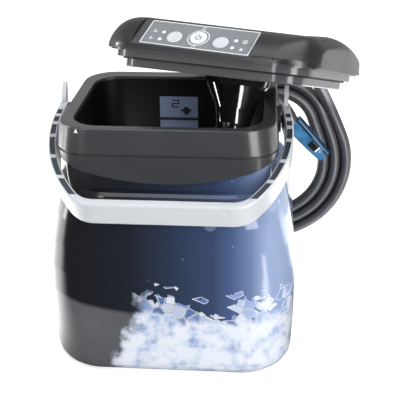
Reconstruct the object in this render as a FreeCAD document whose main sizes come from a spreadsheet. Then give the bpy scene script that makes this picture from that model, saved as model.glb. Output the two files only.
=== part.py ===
import FreeCAD, Part
import math
import os
from FreeCAD import Placement, Rotation, Vector

# Cold therapy cooler: an insulated ice tub with a bail handle and a lift-off lid that
# carries the control panel, the pumps, the pump column and the coiled hose.
#
# Frame: millimetres, +Z up, front towards -Y, origin at the centre of the flat base.
# The lid is set down askew on the rim, so all its pieces are drawn in a lid frame (z = 0
# at the underside of the flange, x across, y from front to back) and placed together.
# The bail is drawn flat in a bail frame (origin on the pivot axis, -Y towards the grip).

X_AXIS = Vector(1, 0, 0)
Y_AXIS = Vector(0, 1, 0)
Z_AXIS = Vector(0, 0, 1)

SIZES = {
    # cooler shell
    "base_width": (248, "shell width at the base"),
    "base_depth": (204, "shell depth at the base"),
    "belly_height": (85, "height of the widest section"),
    "body_width": (253, "widest shell width"),
    "body_depth": (210, "deepest shell depth"),
    "shoulder_height": (205, "height of the shoulder under the neck"),
    "shoulder_width": (226, "shell width at the shoulder"),
    "shoulder_depth": (193, "shell depth at the shoulder"),
    "body_corner": (52, "plan corner radius of the body"),
    "shoulder_corner": (62, "plan corner radius of the shoulder"),
    "base_round": (18, "rounding under the shell"),
    "shoulder_round": (7, "rounding over the shoulder"),
    "shell_wall": (3, "wall of the shell"),
    "neck_width": (201, "width of the neck that carries the collar"),
    "neck_depth": (176, "depth of the neck"),
    "neck_corner": (29, "plan corner radius of the neck"),
    "neck_wall": (2.5, "wall of the neck"),
    "neck_top": (262, "height of the top of the neck"),
    # inner tub and insulation
    "rim_height": (268, "height of the rim's top face"),
    "opening_width": (182, "width of the ice opening"),
    "opening_depth": (156, "depth of the ice opening"),
    "opening_corner": (27, "plan corner radius of the opening"),
    "opening_shift": (5, "distance of the opening in front of the middle"),
    "tub_wall": (2.5, "wall of the inner tub"),
    "tub_flange": (2.2, "thickness of the tub's flange"),
    "tub_floor": (38, "height of the tub's inner floor"),
    "tub_floor_width": (168, "width of the tub at its floor"),
    "tub_floor_depth": (142, "depth of the tub at its floor"),
    "tub_floor_round": (6, "rounding at the tub's floor"),
    "foam_gap": (0.4, "clearance round the foam"),
    # collar
    "rim_width": (207, "width of the collar at the rim"),
    "rim_depth": (182, "depth of the collar at the rim"),
    "rim_corner": (33, "plan corner radius of the collar"),
    "collar_width": (213, "width of the collar at its groove"),
    "collar_depth": (188, "depth of the collar at its groove"),
    "collar_top_wall": (3.2, "thickness of the collar's top face"),
    "groove_height": (241.5, "height of the lower edge of the groove"),
    "groove_size": (2.4, "height of the groove round the collar"),
    "groove_cut": (1.3, "depth of the groove"),
    "apron_low": (214.5, "height of the collar's lower edge at mid front"),
    "apron_rise": (24.5, "rise of the collar's lower edge from mid front to the side"),
    "apron_reach": (112, "half width over which the lower edge rises"),
    "collar_wall": (2.8, "wall of the collar's apron"),
    "seat_gap": (0.4, "clearance between nested mouldings"),
    "rim_round": (2, "rounding of the rim's outer edge"),
    # bail handle
    "pivot_height": (249, "height of the bail's pivot axis"),
    "pivot_forward": (2, "distance of the pivot axis in front of the middle"),
    "bail_drop": (25, "angle of the bail below level, in degrees"),
    "bail_thickness": (8.4, "thickness of the bail's strap"),
    "bail_height": (28.4, "height of the bail's strap"),
    "bail_pivot_half": (117.2, "half width of the bail outside, at its pivots"),
    "bail_half": (120.8, "greatest half width of the bail outside"),
    "bail_belly": (30, "distance of the greatest width from the pivots"),
    "bail_side_radius": (140, "radius of the arms in front of their widest place"),
    "bail_corner_radius": (31, "radius of the bail's corners"),
    "bail_reach": (130.6, "distance from the pivots to the grip's outer face"),
    "bail_edge": (2.2, "rounding along the strap"),
    "hub_radius": (13.5, "radius of the bail's hubs"),
    "ear_reach": (108.3, "half distance between the outer faces of the collar's ears"),
    "pin_radius": (4, "radius of the pivot pins"),
    "pin_play": (0.07, "radial play of the bail on its pins"),
    "pin_head_radius": (6, "radius of a pivot pin's head"),
    "pin_head": (1.8, "thickness of a pivot pin's head"),
    "tip_length": (34, "height of the thumb tips above the pivots"),
    "tip_width": (10.5, "width of the thumb tips"),
    "tip_thickness": (4.2, "thickness of the thumb tips"),
    "tip_lean": (17.5, "angle by which the thumb tips lean back, in degrees"),
    "inlay_width": (5, "width of the grip inlays"),
    "inlay_depth": (4, "depth of the grip inlays"),
    "inlay_sink": (0.5, "distance of the inlays below the strap's edge"),
    "rib_width": (2.6, "width of the ribs between the inlays"),
    # lid
    "lid_turn": (21.8, "angle by which the lid is turned clockwise, in degrees"),
    "lid_tip": (18.2, "angle by which the lid's front is raised, in degrees"),
    "lid_lean": (1.1, "angle by which the lid's left side is lower, in degrees"),
    "lid_right": (62.8, "distance of the lid's middle to the right"),
    "lid_front": (8.5, "distance of the lid's middle to the front"),
    "lid_seat": (0.35, "clearance between the lid's plug and the thumb tip it leans on"),
    "label_width": (42, "width of the fill guide"),
    "label_length": (62, "height of the fill guide"),
    "label_thick": (0.3, "thickness of the fill guide"),
    "label_left": (3.2, "distance of the fill guide's middle to the left of the tub's"),
    "label_drop": (16, "fall of the fill guide's top edge below the neck's top"),
    "cover_width": (211.5, "width of the lid's cover"),
    "cover_depth": (186.5, "depth of the lid's cover"),
    "cover_corner": (34, "plan corner radius of the cover"),
    "cover_low": (7.5, "height of the cover's lower edge over the flange"),
    "cover_height": (31.3, "height of the cover's ridge over the flange"),
    "cover_fall": (5.2, "fall of the cover's top towards the back, in degrees"),
    "cover_lean": (1.5, "fall of the cover's top towards the right, in degrees"),
    "cover_wall": (2.4, "wall of the cover"),
    "cover_cave": (14, "height of the top of the hollow all over the cover"),
    "middle_cave": (20.5, "height of the top of the hollow in the cover's middle"),
    "pump_cave": (24.6, "height of the top of the hollow over the air pump"),
    "panel_foot": (11.4, "height of the lower edge of the sloping panel"),
    "panel_slope": (43.5, "slope of the control panel, in degrees"),
    "panel_lean": (1.3, "fall of the control panel towards the right, in degrees"),
    "bezel_width": (119, "width of the panel's bezel"),
    "bezel_length": (35.2, "length of the bezel up the slope"),
    "bezel_thickness": (1.6, "thickness of the bezel"),
    "bezel_left": (8.3, "distance of the bezel's middle left of the lid's middle"),
    "overlay_width": (108.8, "width of the printed overlay"),
    "overlay_length": (32.6, "length of the overlay up the slope"),
    "overlay_thickness": (0.5, "thickness of the overlay"),
    "flange_width": (195, "width of the lid's flange"),
    "flange_depth": (170, "depth of the lid's flange"),
    "flange_corner": (28, "plan corner radius of the flange"),
    "flange_height": (6, "thickness of the lid's flange"),
    "deck_height": (2.6, "thickness of the deck inside the cover"),
    "plug_width": (180, "width of the lid's plug"),
    "plug_depth": (151.5, "depth of the lid's plug"),
    "plug_corner": (23, "plan corner radius of the plug"),
    "plug_height": (9, "depth of the plug under the flange"),
    "gasket_width": (3, "width of the lid's gasket"),
    "gasket_height": (1.6, "height of the lid's gasket"),
    "button_radius": (8, "radius of the round buttons"),
    "button_hole_gap": (0.35, "gap round each button"),
    "button_rise": (1, "height of a button over the overlay"),
    "button_depth": (2.6, "depth of a button below the overlay"),
    "button_travel": (0.8, "travel of a button"),
    "overlay_shift": (3, "distance of the overlay's middle right of the bezel's middle"),
    "button_pitch": (23.1, "distance between the buttons"),
    "power_lift": (-1.2, "distance of the power button up the slope from the overlay's middle"),
    "button_lift": (-3.9, "distance of the side buttons up the slope from the overlay's middle"),
    "lamp_spread": (36.2, "distance of the lenses from the overlay's middle line"),
    "lamp_lift": (1, "distance of the upper lenses up the slope from the overlay's middle"),
    "lamp_step": (9.6, "distance between the upper and the lower lenses"),
    "well_width": (104, "width of the well under the bezel"),
    "well_length": (28, "length of the well up the slope"),
    "well_depth": (7.1, "depth of the well under the bezel"),
    "lamp_radius": (1.7, "radius of an indicator lens"),
    # pump column
    "column_left": (4.5, "distance of the pump column left of the lid's middle"),
    "column_shift": (20, "distance of the pump column behind the lid's middle"),
    "column_length": (208, "length of the pump column under the plug"),
    "funnel_radius": (34, "radius of the column's funnel under the plug"),
    "funnel_length": (44, "length of the funnel"),
    "column_radius": (17.5, "radius of the pump column"),
    "column_wall": (2.2, "wall of the pump column"),
    "pump_radius": (21, "radius of the pump housing"),
    "pump_length": (34, "length of the pump housing"),
    "rotor_radius": (13, "radius of the impeller"),
    "rotor_height": (8, "height of the impeller"),
    "rotor_gap": (0.8, "clearance round the impeller"),
    "shaft_radius": (1.6, "radius of the motor's shaft"),
    "shaft_play": (0.05, "radial play of the impeller on the shaft"),
    "motor_radius": (12.5, "radius of the water pump's motor"),
    "motor_length": (32, "length of the water pump's motor"),
    # hose and connector
    "hose_radius": (6.5, "radius of the hose"),
    "coil_right": (93.5, "distance of the hose coil's middle to the right"),
    "coil_back": (119, "distance of the hose coil's middle to the back"),
    "coil_height": (152, "height of the hose coil's middle"),
    "coil_inner": (59, "inner radius of the hose coil"),
    "coil_outer": (100, "outer radius of the hose coil"),
    "gland_right": (45, "distance of the hose gland to the right on the lid"),
    "gland_height": (13, "height of the hose gland over the flange"),
    "gland_droop": (30, "angle of the hose gland below the lid's plane, in degrees"),
    "gland_length": (24, "length of the hose gland outside the cover"),
    "gland_radius": (8.6, "radius of the hose gland"),
    "plug_end_width": (15.5, "width of the connector's mating end"),
    "plug_hose_width": (21, "width of the connector's hose end"),
    "plug_end_depth": (12.5, "thickness of the connector"),
    "connector_length": (54, "length of the connector"),
    "connector_play": (0.35, "gap round the connector's release button"),
    "connector_travel": (1.5, "travel of the release button"),
    "port_radius": (2.4, "radius of the connector's ports"),
    "port_depth": (12, "depth of the connector's ports"),
    "inlet_radius": (2.8, "radius of the power inlet's bore"),
    "inlet_depth": (9.5, "depth of the power inlet's bore"),
}

# The hose is free between the gland and the coil, and between the coil and the connector.
LEAD_POINTS = [(156.4, 115, 231.9), (171, 119.5, 204)]
TAIL_POINTS = [(34, 112, 217), (69.9, 105, 234.3), (101.6, 104, 230.3)]
CONNECTOR_HEEL = (123.7, 104, 206.4)
CONNECTOR_AIM = (0.679, 0, -0.734)

doc = FreeCAD.newDocument("cold_therapy_machine")
sheet = doc.addObject("Spreadsheet::Sheet", "Sizes")
nodes = []


def fill_sheet():
    """Write every driving dimension into the sheet as a plain number with an alias."""
    for row, (alias, (number, meaning)) in enumerate(SIZES.items(), start=1):
        sheet.set(f"A{row}", meaning)
        sheet.set(f"B{row}", str(number))
        sheet.setAlias(f"B{row}", alias)
    doc.recompute()


class Size:
    """A number together with the sheet formula that gives it."""

    def __init__(self, value, text):
        self.value = value
        self.text = text

    def _combine(self, sign, other, value):
        text = other.text if isinstance(other, Size) else str(other)
        return Size(value, f"({self.text} {sign} {text})")

    def __add__(self, other):
        return self._combine("+", other, self.value + plain(other))

    def __sub__(self, other):
        return self._combine("-", other, self.value - plain(other))

    def __mul__(self, other):
        return self._combine("*", other, self.value * plain(other))

    def __truediv__(self, other):
        return self._combine("/", other, self.value / plain(other))

    def __neg__(self):
        return Size(-self.value, f"(0 - {self.text})")


class SizeTable:
    """Gives each sheet cell as a Size by its alias."""

    def __getattr__(self, alias):
        if alias not in SIZES:
            raise AttributeError(alias)
        return Size(float(sheet.get(alias)), f"Sizes.{alias}")


def plain(size):
    """Return the number of a Size or of a bare number."""
    return size.value if isinstance(size, Size) else float(size)


def root(size):
    """Return the square root of a Size."""
    return Size(math.sqrt(size.value), f"sqrt({size.text})")


def bind(thing, field, size):
    """Set a property of a document object and tie it to the sheet."""
    if isinstance(size, Size):
        thing.setExpression(field, size.text)
    else:
        setattr(thing, field, size)


# ---------------------------------------------------------------- modelling helpers


def keep(thing, label, placement=None):
    """List an object as a node of the model under its label."""
    thing.Label = label
    if placement is not None:
        thing.Placement = placement
    nodes.append(thing)
    return thing


def new_body(label):
    """Make an empty body."""
    body = doc.addObject("PartDesign::Body", label + "_body")
    return body


def new_sketch(body, role="XY_Plane", height=None, fall=None, lean=0):
    """Make a sketch on a plane of the body, lifted by height and tipped back and right."""
    sketch = body.newObject("Sketcher::SketchObject", body.Name + "_sketch")
    plane = [item for item in body.Origin.OriginFeatures if item.Role == role][0]
    sketch.AttachmentSupport = (plane, [""])
    sketch.MapMode = "FlatFace"
    if fall is not None:
        tip = Rotation(Y_AXIS, plain(lean)).multiply(Rotation(X_AXIS, -plain(fall)))
        sketch.AttachmentOffset = Placement(Vector(0, 0, plain(height)), tip)
    if isinstance(height, Size):
        sketch.setExpression("AttachmentOffset.Base.z", height.text)
    elif height is not None and fall is None:
        sketch.AttachmentOffset = Placement(Vector(0, 0, height), Rotation())
    return sketch


def fix(sketch, kind, size, *references):
    """Add a dimension to a sketch and tie it to the sheet."""
    index = sketch.addConstraint(Sketcher_constraint(kind, *references, plain(size)))
    if isinstance(size, Size):
        sketch.setExpression(f"Constraints[{index}]", size.text)


def Sketcher_constraint(*terms):
    """Return a sketch constraint."""
    import Sketcher
    return Sketcher.Constraint(*terms)


def fix_point(sketch, geometry, point, across, along):
    """Fix one point of a sketch by its distances from the origin."""
    for kind, size, axis in (("DistanceX", across, -2), ("DistanceY", along, -1)):
        number = plain(size)
        if abs(number) < 1e-9:
            sketch.addConstraint(Sketcher_constraint("PointOnObject", geometry, point, axis))
        elif number > 0:
            fix(sketch, kind, size, -1, 1, geometry, point)
        else:
            fix(sketch, kind, -size, geometry, point, -1, 1)


def rounded_outline(sketch, half_width, half_depth, corner, shift=0.0):
    """Draw a rectangle with round corners about the point (0, shift)."""
    a, b, r, mid = plain(half_width), plain(half_depth), plain(corner), plain(shift)
    front, back = mid - b, mid + b
    first = sketch.GeometryCount
    sides = (
        ((-a + r, front), (a - r, front)),
        ((a, front + r), (a, back - r)),
        ((a - r, back), (-a + r, back)),
        ((-a, back - r), (-a, front + r)),
    )
    for start, end in sides:
        sketch.addGeometry(Part.LineSegment(Vector(*start, 0), Vector(*end, 0)))
    centres = ((a - r, front + r), (a - r, back - r), (-a + r, back - r), (-a + r, front + r))
    for turn, centre in enumerate(centres):
        circle = Part.Circle(Vector(*centre, 0), Z_AXIS, r)
        start = math.radians(90 * turn - 90)
        sketch.addGeometry(Part.ArcOfCircle(circle, start, start + math.pi / 2))
    for side in range(4):
        arc = first + 4 + side
        line = first + side
        after = first + (side + 1) % 4
        sketch.addConstraint(Sketcher_constraint("Tangent", line, 2, arc, 1))
        sketch.addConstraint(Sketcher_constraint("Tangent", arc, 2, after, 1))
        kind = "Horizontal" if side % 2 == 0 else "Vertical"
        sketch.addConstraint(Sketcher_constraint(kind, line))
    for arc in (first + 5, first + 6, first + 7):
        sketch.addConstraint(Sketcher_constraint("Equal", first + 4, arc))
    fix(sketch, "Radius", corner, first + 4)
    fix(sketch, "DistanceX", half_width, -1, 1, first + 1, 1)
    fix(sketch, "DistanceX", half_width, first + 3, 1, -1, 1)
    fix(sketch, "DistanceY", half_depth + shift if shift else half_depth, -1, 1, first + 2, 1)
    fix(sketch, "DistanceY", half_depth - shift if shift else half_depth, first, 1, -1, 1)
    return sketch


def circle_outline(sketch, radius, across=0.0, along=0.0):
    """Draw a circle."""
    centre = Vector(plain(across), plain(along), 0)
    index = sketch.addGeometry(Part.Circle(centre, Z_AXIS, plain(radius)))
    fix(sketch, "Radius", radius, index)
    fix_point(sketch, index, 3, across, along)
    return sketch


def polygon_outline(sketch, points):
    """Draw a closed outline of straight lines through points given as Sizes."""
    count = len(points)
    first = sketch.GeometryCount
    corners = [Vector(plain(x), plain(y), 0) for x, y in points]
    for index in range(count):
        sketch.addGeometry(Part.LineSegment(corners[index], corners[(index + 1) % count]))
    for index in range(count):
        after = first + (index + 1) % count
        sketch.addConstraint(Sketcher_constraint("Coincident", first + index, 2, after, 1))
    for index, (across, along) in enumerate(points):
        fix_point(sketch, first + index, 1, across, along)
    return sketch


def finish(body, feature):
    """Make a feature the body's tip, recompute, and stop if it failed."""
    body.Tip = feature
    doc.recompute()
    if "Up-to-date" not in feature.State:
        raise ValueError(f"{feature.Name} failed: {feature.getStatusString()}")
    return feature


def pad(body, sketch, length, reverse=False, both=False):
    """Add a prism over a sketch."""
    feature = body.newObject("PartDesign::Pad", body.Name + "_pad")
    feature.Profile = sketch
    bind(feature, "Length", length)
    feature.Reversed = reverse
    feature.Midplane = both
    return finish(body, feature)


def pocket(body, sketch, length=None, reverse=False, both=False):
    """Cut a prism over a sketch, through everything where no length is given."""
    before = body.Shape.Volume
    feature = body.newObject("PartDesign::Pocket", body.Name + "_pocket")
    feature.Profile = sketch
    feature.Reversed = reverse
    feature.Midplane = both
    if length is None:
        feature.Type = 1
    else:
        bind(feature, "Length", length)
    finish(body, feature)
    if not body.Shape.Volume < before:
        raise ValueError(f"{feature.Name} cuts nothing")
    return feature


def loft(body, sketches, cut=False, ruled=False):
    """Add or cut a loft through sketches."""
    kind = "PartDesign::SubtractiveLoft" if cut else "PartDesign::AdditiveLoft"
    feature = body.newObject(kind, body.Name + "_loft")
    feature.Profile = sketches[0]
    feature.Sections = sketches[1:]
    feature.Ruled = ruled
    return finish(body, feature)


def revolve(body, sketch, cut=False):
    """Add or cut a full turn of a sketch in the XZ plane about the body's Z axis."""
    kind = "PartDesign::Groove" if cut else "PartDesign::Revolution"
    feature = body.newObject(kind, body.Name + "_turn")
    feature.Profile = sketch
    feature.ReferenceAxis = (sketch, ["V_Axis"])
    feature.Angle = 360
    return finish(body, feature)


def round_edges(body, radius, choose):
    """Fillet the edges of the body that a test on their bounding boxes picks."""
    names = [
        f"Edge{number}"
        for number, edge in enumerate(body.Shape.Edges, start=1)
        if choose(edge.BoundBox)
    ]
    if not names:
        raise ValueError(f"{body.Name} has no edge to round")
    base = body.Tip
    feature = body.newObject("PartDesign::Fillet", body.Name + "_round")
    feature.Base = (base, names)
    bind(feature, "Radius", radius)
    return finish(body, feature)


def level(height):
    """Return a test for edges that lie flat at a height."""
    z = plain(height)
    return lambda box: abs(box.ZMin - z) < 0.01 and abs(box.ZMax - z) < 0.01


def prism(label, half_width, half_depth, corner, low, height, shift=0.0):
    """Make a body that is a plate with round corners."""
    body = new_body(label)
    sketch = rounded_outline(new_sketch(body, height=low), half_width, half_depth, corner, shift)
    pad(body, sketch, height)
    return body


def cylinder(name, radius, height, placement):
    """Make a cylinder primitive."""
    thing = doc.addObject("Part::Cylinder", name)
    bind(thing, "Radius", radius)
    bind(thing, "Height", height)
    thing.Placement = placement
    return thing


def box(name, length, width, height, placement):
    """Make a box primitive that is centred on its placement in length and width."""
    thing = doc.addObject("Part::Box", name)
    bind(thing, "Length", length)
    bind(thing, "Width", width)
    bind(thing, "Height", height)
    corner = Placement(Vector(-plain(length) / 2, -plain(width) / 2, 0), Rotation())
    thing.Placement = placement.multiply(corner)
    return thing


def cut(name, base, tool):
    """Make a boolean cut."""
    thing = doc.addObject("Part::Cut", name)
    thing.Base = base
    thing.Tool = tool
    return thing


def fuse(name, pieces):
    """Make a boolean fusion."""
    thing = doc.addObject("Part::MultiFuse", name)
    thing.Shapes = pieces
    return thing


def group(name, pieces):
    """Make a compound of separate solids."""
    thing = doc.addObject("Part::Compound", name)
    thing.Links = pieces
    return thing


def at(x, y, z, rotation=None):
    """Return a placement at a point."""
    place = Vector(plain(x), plain(y), plain(z))
    return Placement(place, rotation if rotation else Rotation())


ALONG_X = Rotation(Y_AXIS, 90)
ALONG_Y = Rotation(X_AXIS, -90)
d = SizeTable()


# ---------------------------------------------------------------- cooler


def foot_bend(radius, steps):
    """Return rises and setbacks of a rounded foot, from its flat underside upwards."""
    rows = []
    for step in range(steps + 1):
        angle = math.pi / 2 * step / steps
        rows.append((radius * (1 - math.cos(angle)), radius * (1 - math.sin(angle))))
    return rows


def barrel(height, inset, back):
    """Return one section of the body: height, half width, half depth and corner radius."""
    if height.value < d.belly_height.value:
        part = (d.belly_height - height) / d.belly_height
        end_width, end_depth, end_corner = d.base_width, d.base_depth, d.body_corner
    else:
        part = (height - d.belly_height) / (d.shoulder_height - d.belly_height)
        end_width, end_depth, end_corner = d.shoulder_width, d.shoulder_depth, d.shoulder_corner
    swell = part * part
    half_width = (d.body_width - (d.body_width - end_width) * swell) / 2
    half_depth = (d.body_depth - (d.body_depth - end_depth) * swell) / 2
    corner = d.body_corner - (d.body_corner - end_corner) * swell
    setback = back + inset
    return (height, half_width - setback, half_depth - setback, corner - setback)


def body_rows(inset, top_round):
    """Return the body's sections from the rounded base to the shoulder."""
    rows = []
    for rise, back in foot_bend(d.base_round - inset, 5):
        rows.append(barrel(rise + inset, inset, back))
    wall = d.shoulder_height - top_round - d.base_round - inset
    for part in (0.2, 0.4, 0.55, 0.7, 0.85, 1):
        rows.append(barrel(d.base_round + wall * part, inset, d.base_round * 0))
    if top_round.value:
        for rise, back in reversed(foot_bend(top_round, 3)[:-1]):
            rows.append(barrel(d.shoulder_height - rise, inset, back))
    return rows


def outlines(body, rows):
    """Draw one rounded outline for each section row."""
    return [rounded_outline(new_sketch(body, height=z), a, b, r) for z, a, b, r in rows]


def make_outer_shell():
    """Blow-moulded shell with a barrel shape, a shoulder and a hollow neck."""
    body = new_body("outer_shell")
    loft(body, outlines(body, body_rows(d.shell_wall * 0, d.shoulder_round)), ruled=True)
    neck_root = d.shoulder_height - d.shell_wall
    neck = new_sketch(body, height=neck_root)
    rounded_outline(neck, d.neck_width / 2, d.neck_depth / 2, d.neck_corner)
    pad(body, neck, d.neck_top - neck_root)
    loft(body, outlines(body, body_rows(d.shell_wall, d.shell_wall * 0)), cut=True, ruled=True)
    mouth = new_sketch(body, height=d.neck_top)
    rounded_outline(
        mouth,
        d.neck_width / 2 - d.neck_wall,
        d.neck_depth / 2 - d.neck_wall,
        d.neck_corner - d.neck_wall,
    )
    pocket(body, mouth, d.neck_top - d.shoulder_height + d.shell_wall + 1)
    keep(body, "outer_shell")


def tub_rows(grow):
    """Return the tub's sections from its rounded floor to the neck's top, grown by a wall."""
    low = d.tub_floor - grow
    height = d.neck_top - low
    rows = []
    bends = foot_bend(d.tub_floor_round + grow, 4)
    for rise, back in bends + [(height, d.tub_wall * 0)]:
        lean = rise / height
        wide = (d.opening_width - 2 - d.tub_floor_width) * lean / 2
        deep = (d.opening_depth - 2 - d.tub_floor_depth) * lean / 2
        half_width = d.tub_floor_width / 2 + wide + grow - back
        half_depth = d.tub_floor_depth / 2 + deep + grow - back
        rows.append((low + rise, half_width, half_depth, d.opening_corner + grow - back))
    return rows


def tub_outlines(body, rows):
    """Draw the tub's sections, which lie in front of the middle."""
    shift = -d.opening_shift
    return [rounded_outline(new_sketch(body, height=z), a, b, r, shift) for z, a, b, r in rows]


def make_inner_tub():
    """Vacuum-formed ice tub with a flange that hangs on the neck."""
    body = new_body("inner_tub")
    loft(body, tub_outlines(body, tub_rows(d.tub_wall)), ruled=True)
    flange = new_sketch(body, height=d.neck_top)
    rounded_outline(flange, d.neck_width / 2, d.neck_depth / 2, d.neck_corner)
    pad(body, flange, d.tub_flange)
    mouth = new_sketch(body, height=d.neck_top + d.tub_flange)
    half_width = d.opening_width / 2 - 1
    half_depth = d.opening_depth / 2 - 1
    rounded_outline(mouth, half_width, half_depth, d.opening_corner, -d.opening_shift)
    pocket(body, mouth, d.tub_flange)
    loft(body, tub_outlines(body, tub_rows(d.tub_wall * 0)), cut=True, ruled=True)
    keep(body, "inner_tub")


def make_insulation():
    """Foam that fills the space between the shell and the tub."""
    body = new_body("insulation_foam")
    inset = d.shell_wall + d.foam_gap
    loft(body, outlines(body, body_rows(inset, d.shell_wall * 0)), ruled=True)
    loft(body, tub_outlines(body, tub_rows(d.tub_wall + d.foam_gap)), cut=True, ruled=True)
    keep(body, "insulation_foam")


def make_collar():
    """Collar over the neck, with a groove, a smiling lower edge and ears for the bail."""
    body = new_body("rim_collar")
    rim = (d.rim_width / 2, d.rim_depth / 2, d.rim_corner)
    belt = (d.collar_width / 2, d.collar_depth / 2, d.rim_corner)
    groove_top = d.groove_height + d.groove_size
    rounded_outline(new_sketch(body, height=d.apron_low), *belt)
    low = body.Group[-1]
    pad(body, low, d.groove_height - d.apron_low)
    inside = [belt[0] - d.groove_cut, belt[1] - d.groove_cut, belt[2] - d.groove_cut]
    pad(body, rounded_outline(new_sketch(body, height=d.groove_height), *inside), d.groove_size)
    upper = rounded_outline(new_sketch(body, height=groove_top), *belt)
    loft(body, [upper, rounded_outline(new_sketch(body, height=d.rim_height), *rim)], ruled=True)
    round_edges(body, d.rim_round, level(d.rim_height))
    for reverse in (False, True):
        ear = new_sketch(body, "YZ_Plane")
        circle_outline(ear, d.hub_radius, -d.pivot_forward, d.pivot_height)
        pad(body, ear, d.ear_reach, reverse=reverse)
    sides = new_sketch(body, height=d.apron_low - 1)
    hold = d.neck_width / 2 + d.seat_gap
    hold_depth = d.neck_depth / 2 + d.seat_gap
    rounded_outline(sides, hold, hold_depth, d.neck_corner + d.seat_gap)
    pocket(body, sides, d.rim_height - d.collar_top_wall - d.apron_low + 1, reverse=True)
    apron = new_sketch(body, height=d.apron_low - 1)
    wall = [size - d.collar_wall - d.groove_cut for size in belt]
    rounded_outline(apron, *wall)
    pocket(body, apron, d.groove_height - d.apron_low - 1, reverse=True)
    opening = new_sketch(body, height=d.rim_height)
    half_width = d.opening_width / 2
    half_depth = d.opening_depth / 2
    rounded_outline(opening, half_width, half_depth, d.opening_corner + 1, -d.opening_shift)
    pocket(body, opening, d.collar_top_wall + 1)
    cut_apron_edge(body)
    bore = new_sketch(body, "YZ_Plane")
    circle_outline(bore, d.pin_radius + d.pin_play / 2, -d.pivot_forward, d.pivot_height)
    pocket(body, bore, d.ear_reach * 2 + 4, both=True)
    keep(body, "rim_collar")


def cut_apron_edge(body):
    """Cut the collar's lower edge to an arc that is lowest at mid front and mid back."""
    reach, rise = d.apron_reach, d.apron_rise
    radius = (reach * reach + rise * rise) / (rise * 2)
    side_low = d.apron_low + rise
    under = d.apron_low - 5
    sketch = new_sketch(body, "XZ_Plane")
    centre = Vector(0, plain(d.apron_low + radius), 0)
    half = math.asin(plain(reach) / plain(radius))
    circle = Part.Circle(centre, Z_AXIS, plain(radius))
    sketch.addGeometry(Part.ArcOfCircle(circle, -math.pi / 2 - half, -math.pi / 2 + half))
    corners = [(reach, side_low), (reach, under), (-reach, under), (-reach, side_low)]
    spots = [Vector(plain(x), plain(y), 0) for x, y in corners]
    for start, end in zip(spots, spots[1:]):
        sketch.addGeometry(Part.LineSegment(start, end))
    for first, second in (((0, 2), (1, 1)), ((1, 2), (2, 1)), ((2, 2), (3, 1)), ((3, 2), (0, 1))):
        sketch.addConstraint(Sketcher_constraint("Coincident", *first, *second))
    for index, (across, along) in enumerate(corners[:3]):
        fix_point(sketch, index + 1, 1, across, along)
    fix_point(sketch, 3, 2, *corners[3])
    fix(sketch, "Radius", radius, 0)
    pocket(body, sketch, d.collar_depth * 2, both=True)


def make_label():
    """Fill guide on the tub's back wall."""
    lean = (d.opening_depth - 2 - d.tub_floor_depth) / 2
    height = d.neck_top - d.tub_floor
    tilt = math.degrees(math.atan2(plain(lean), plain(height)))
    length, thick = plain(d.label_length), plain(d.label_thick)
    low = plain(d.neck_top) - plain(d.label_drop) - length
    back = plain(d.opening_depth) / 2 - 1 - plain(d.opening_shift)
    wall = back - (plain(d.neck_top) - low) * plain(lean) / plain(height)
    spot = Vector(-plain(d.label_left), wall - thick / 2 - 0.1, low)
    place = Placement(spot, Rotation(X_AXIS, -tilt))
    label = box("fill_label_box", d.label_width, d.label_thick, d.label_length, place)
    keep(label, "fill_label")


def make_pivot_pins():
    """Two pins that hold the bail in the collar's ears."""
    for side, label in ((-1, "pivot_pin_left"), (1, "pivot_pin_right")):
        turn = Rotation(Y_AXIS, 90 * side)
        y, z = -d.pivot_forward, d.pivot_height
        root_x = plain(d.ear_reach) - 5
        shaft_length = d.bail_pivot_half + 0.3 - root_x
        shaft = cylinder(label + "_shaft", d.pin_radius, shaft_length, at(side * root_x, y, z, turn))
        head_x = side * (plain(d.bail_pivot_half) + 0.3)
        head = cylinder(label + "_head", d.pin_head_radius, d.pin_head, at(head_x, y, z, turn))
        keep(fuse(label + "_whole", [shaft, head]), label)


def make_base_pads():
    """Four round rubber pads let into the base, flush with it."""
    spots = [(side * 78, face * 62) for side in (-1, 1) for face in (-1, 1)]
    pads = [
        cylinder(f"base_pad_{n}", 9, 1.5, at(x, y, 0))
        for n, (x, y) in enumerate(spots, start=1)
    ]
    wells = [
        cylinder(f"base_well_{n}", 9.3, 1.5, at(x, y, 0))
        for n, (x, y) in enumerate(spots, start=1)
    ]
    shell = [node for node in nodes if node.Label == "outer_shell"][0]
    nodes.remove(shell)
    shell.Label = "shell_blank"
    keep(cut("outer_shell_cut", shell, group("base_wells", wells)), "outer_shell")
    keep(group("base_pads_set", pads), "base_pads")


# ---------------------------------------------------------------- bail handle


def bail_placement():
    """Return the placement of the bail frame, with the grip dropped to the front."""
    return at(0, -d.pivot_forward, d.pivot_height, Rotation(X_AXIS, plain(d.bail_drop)))


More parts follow.
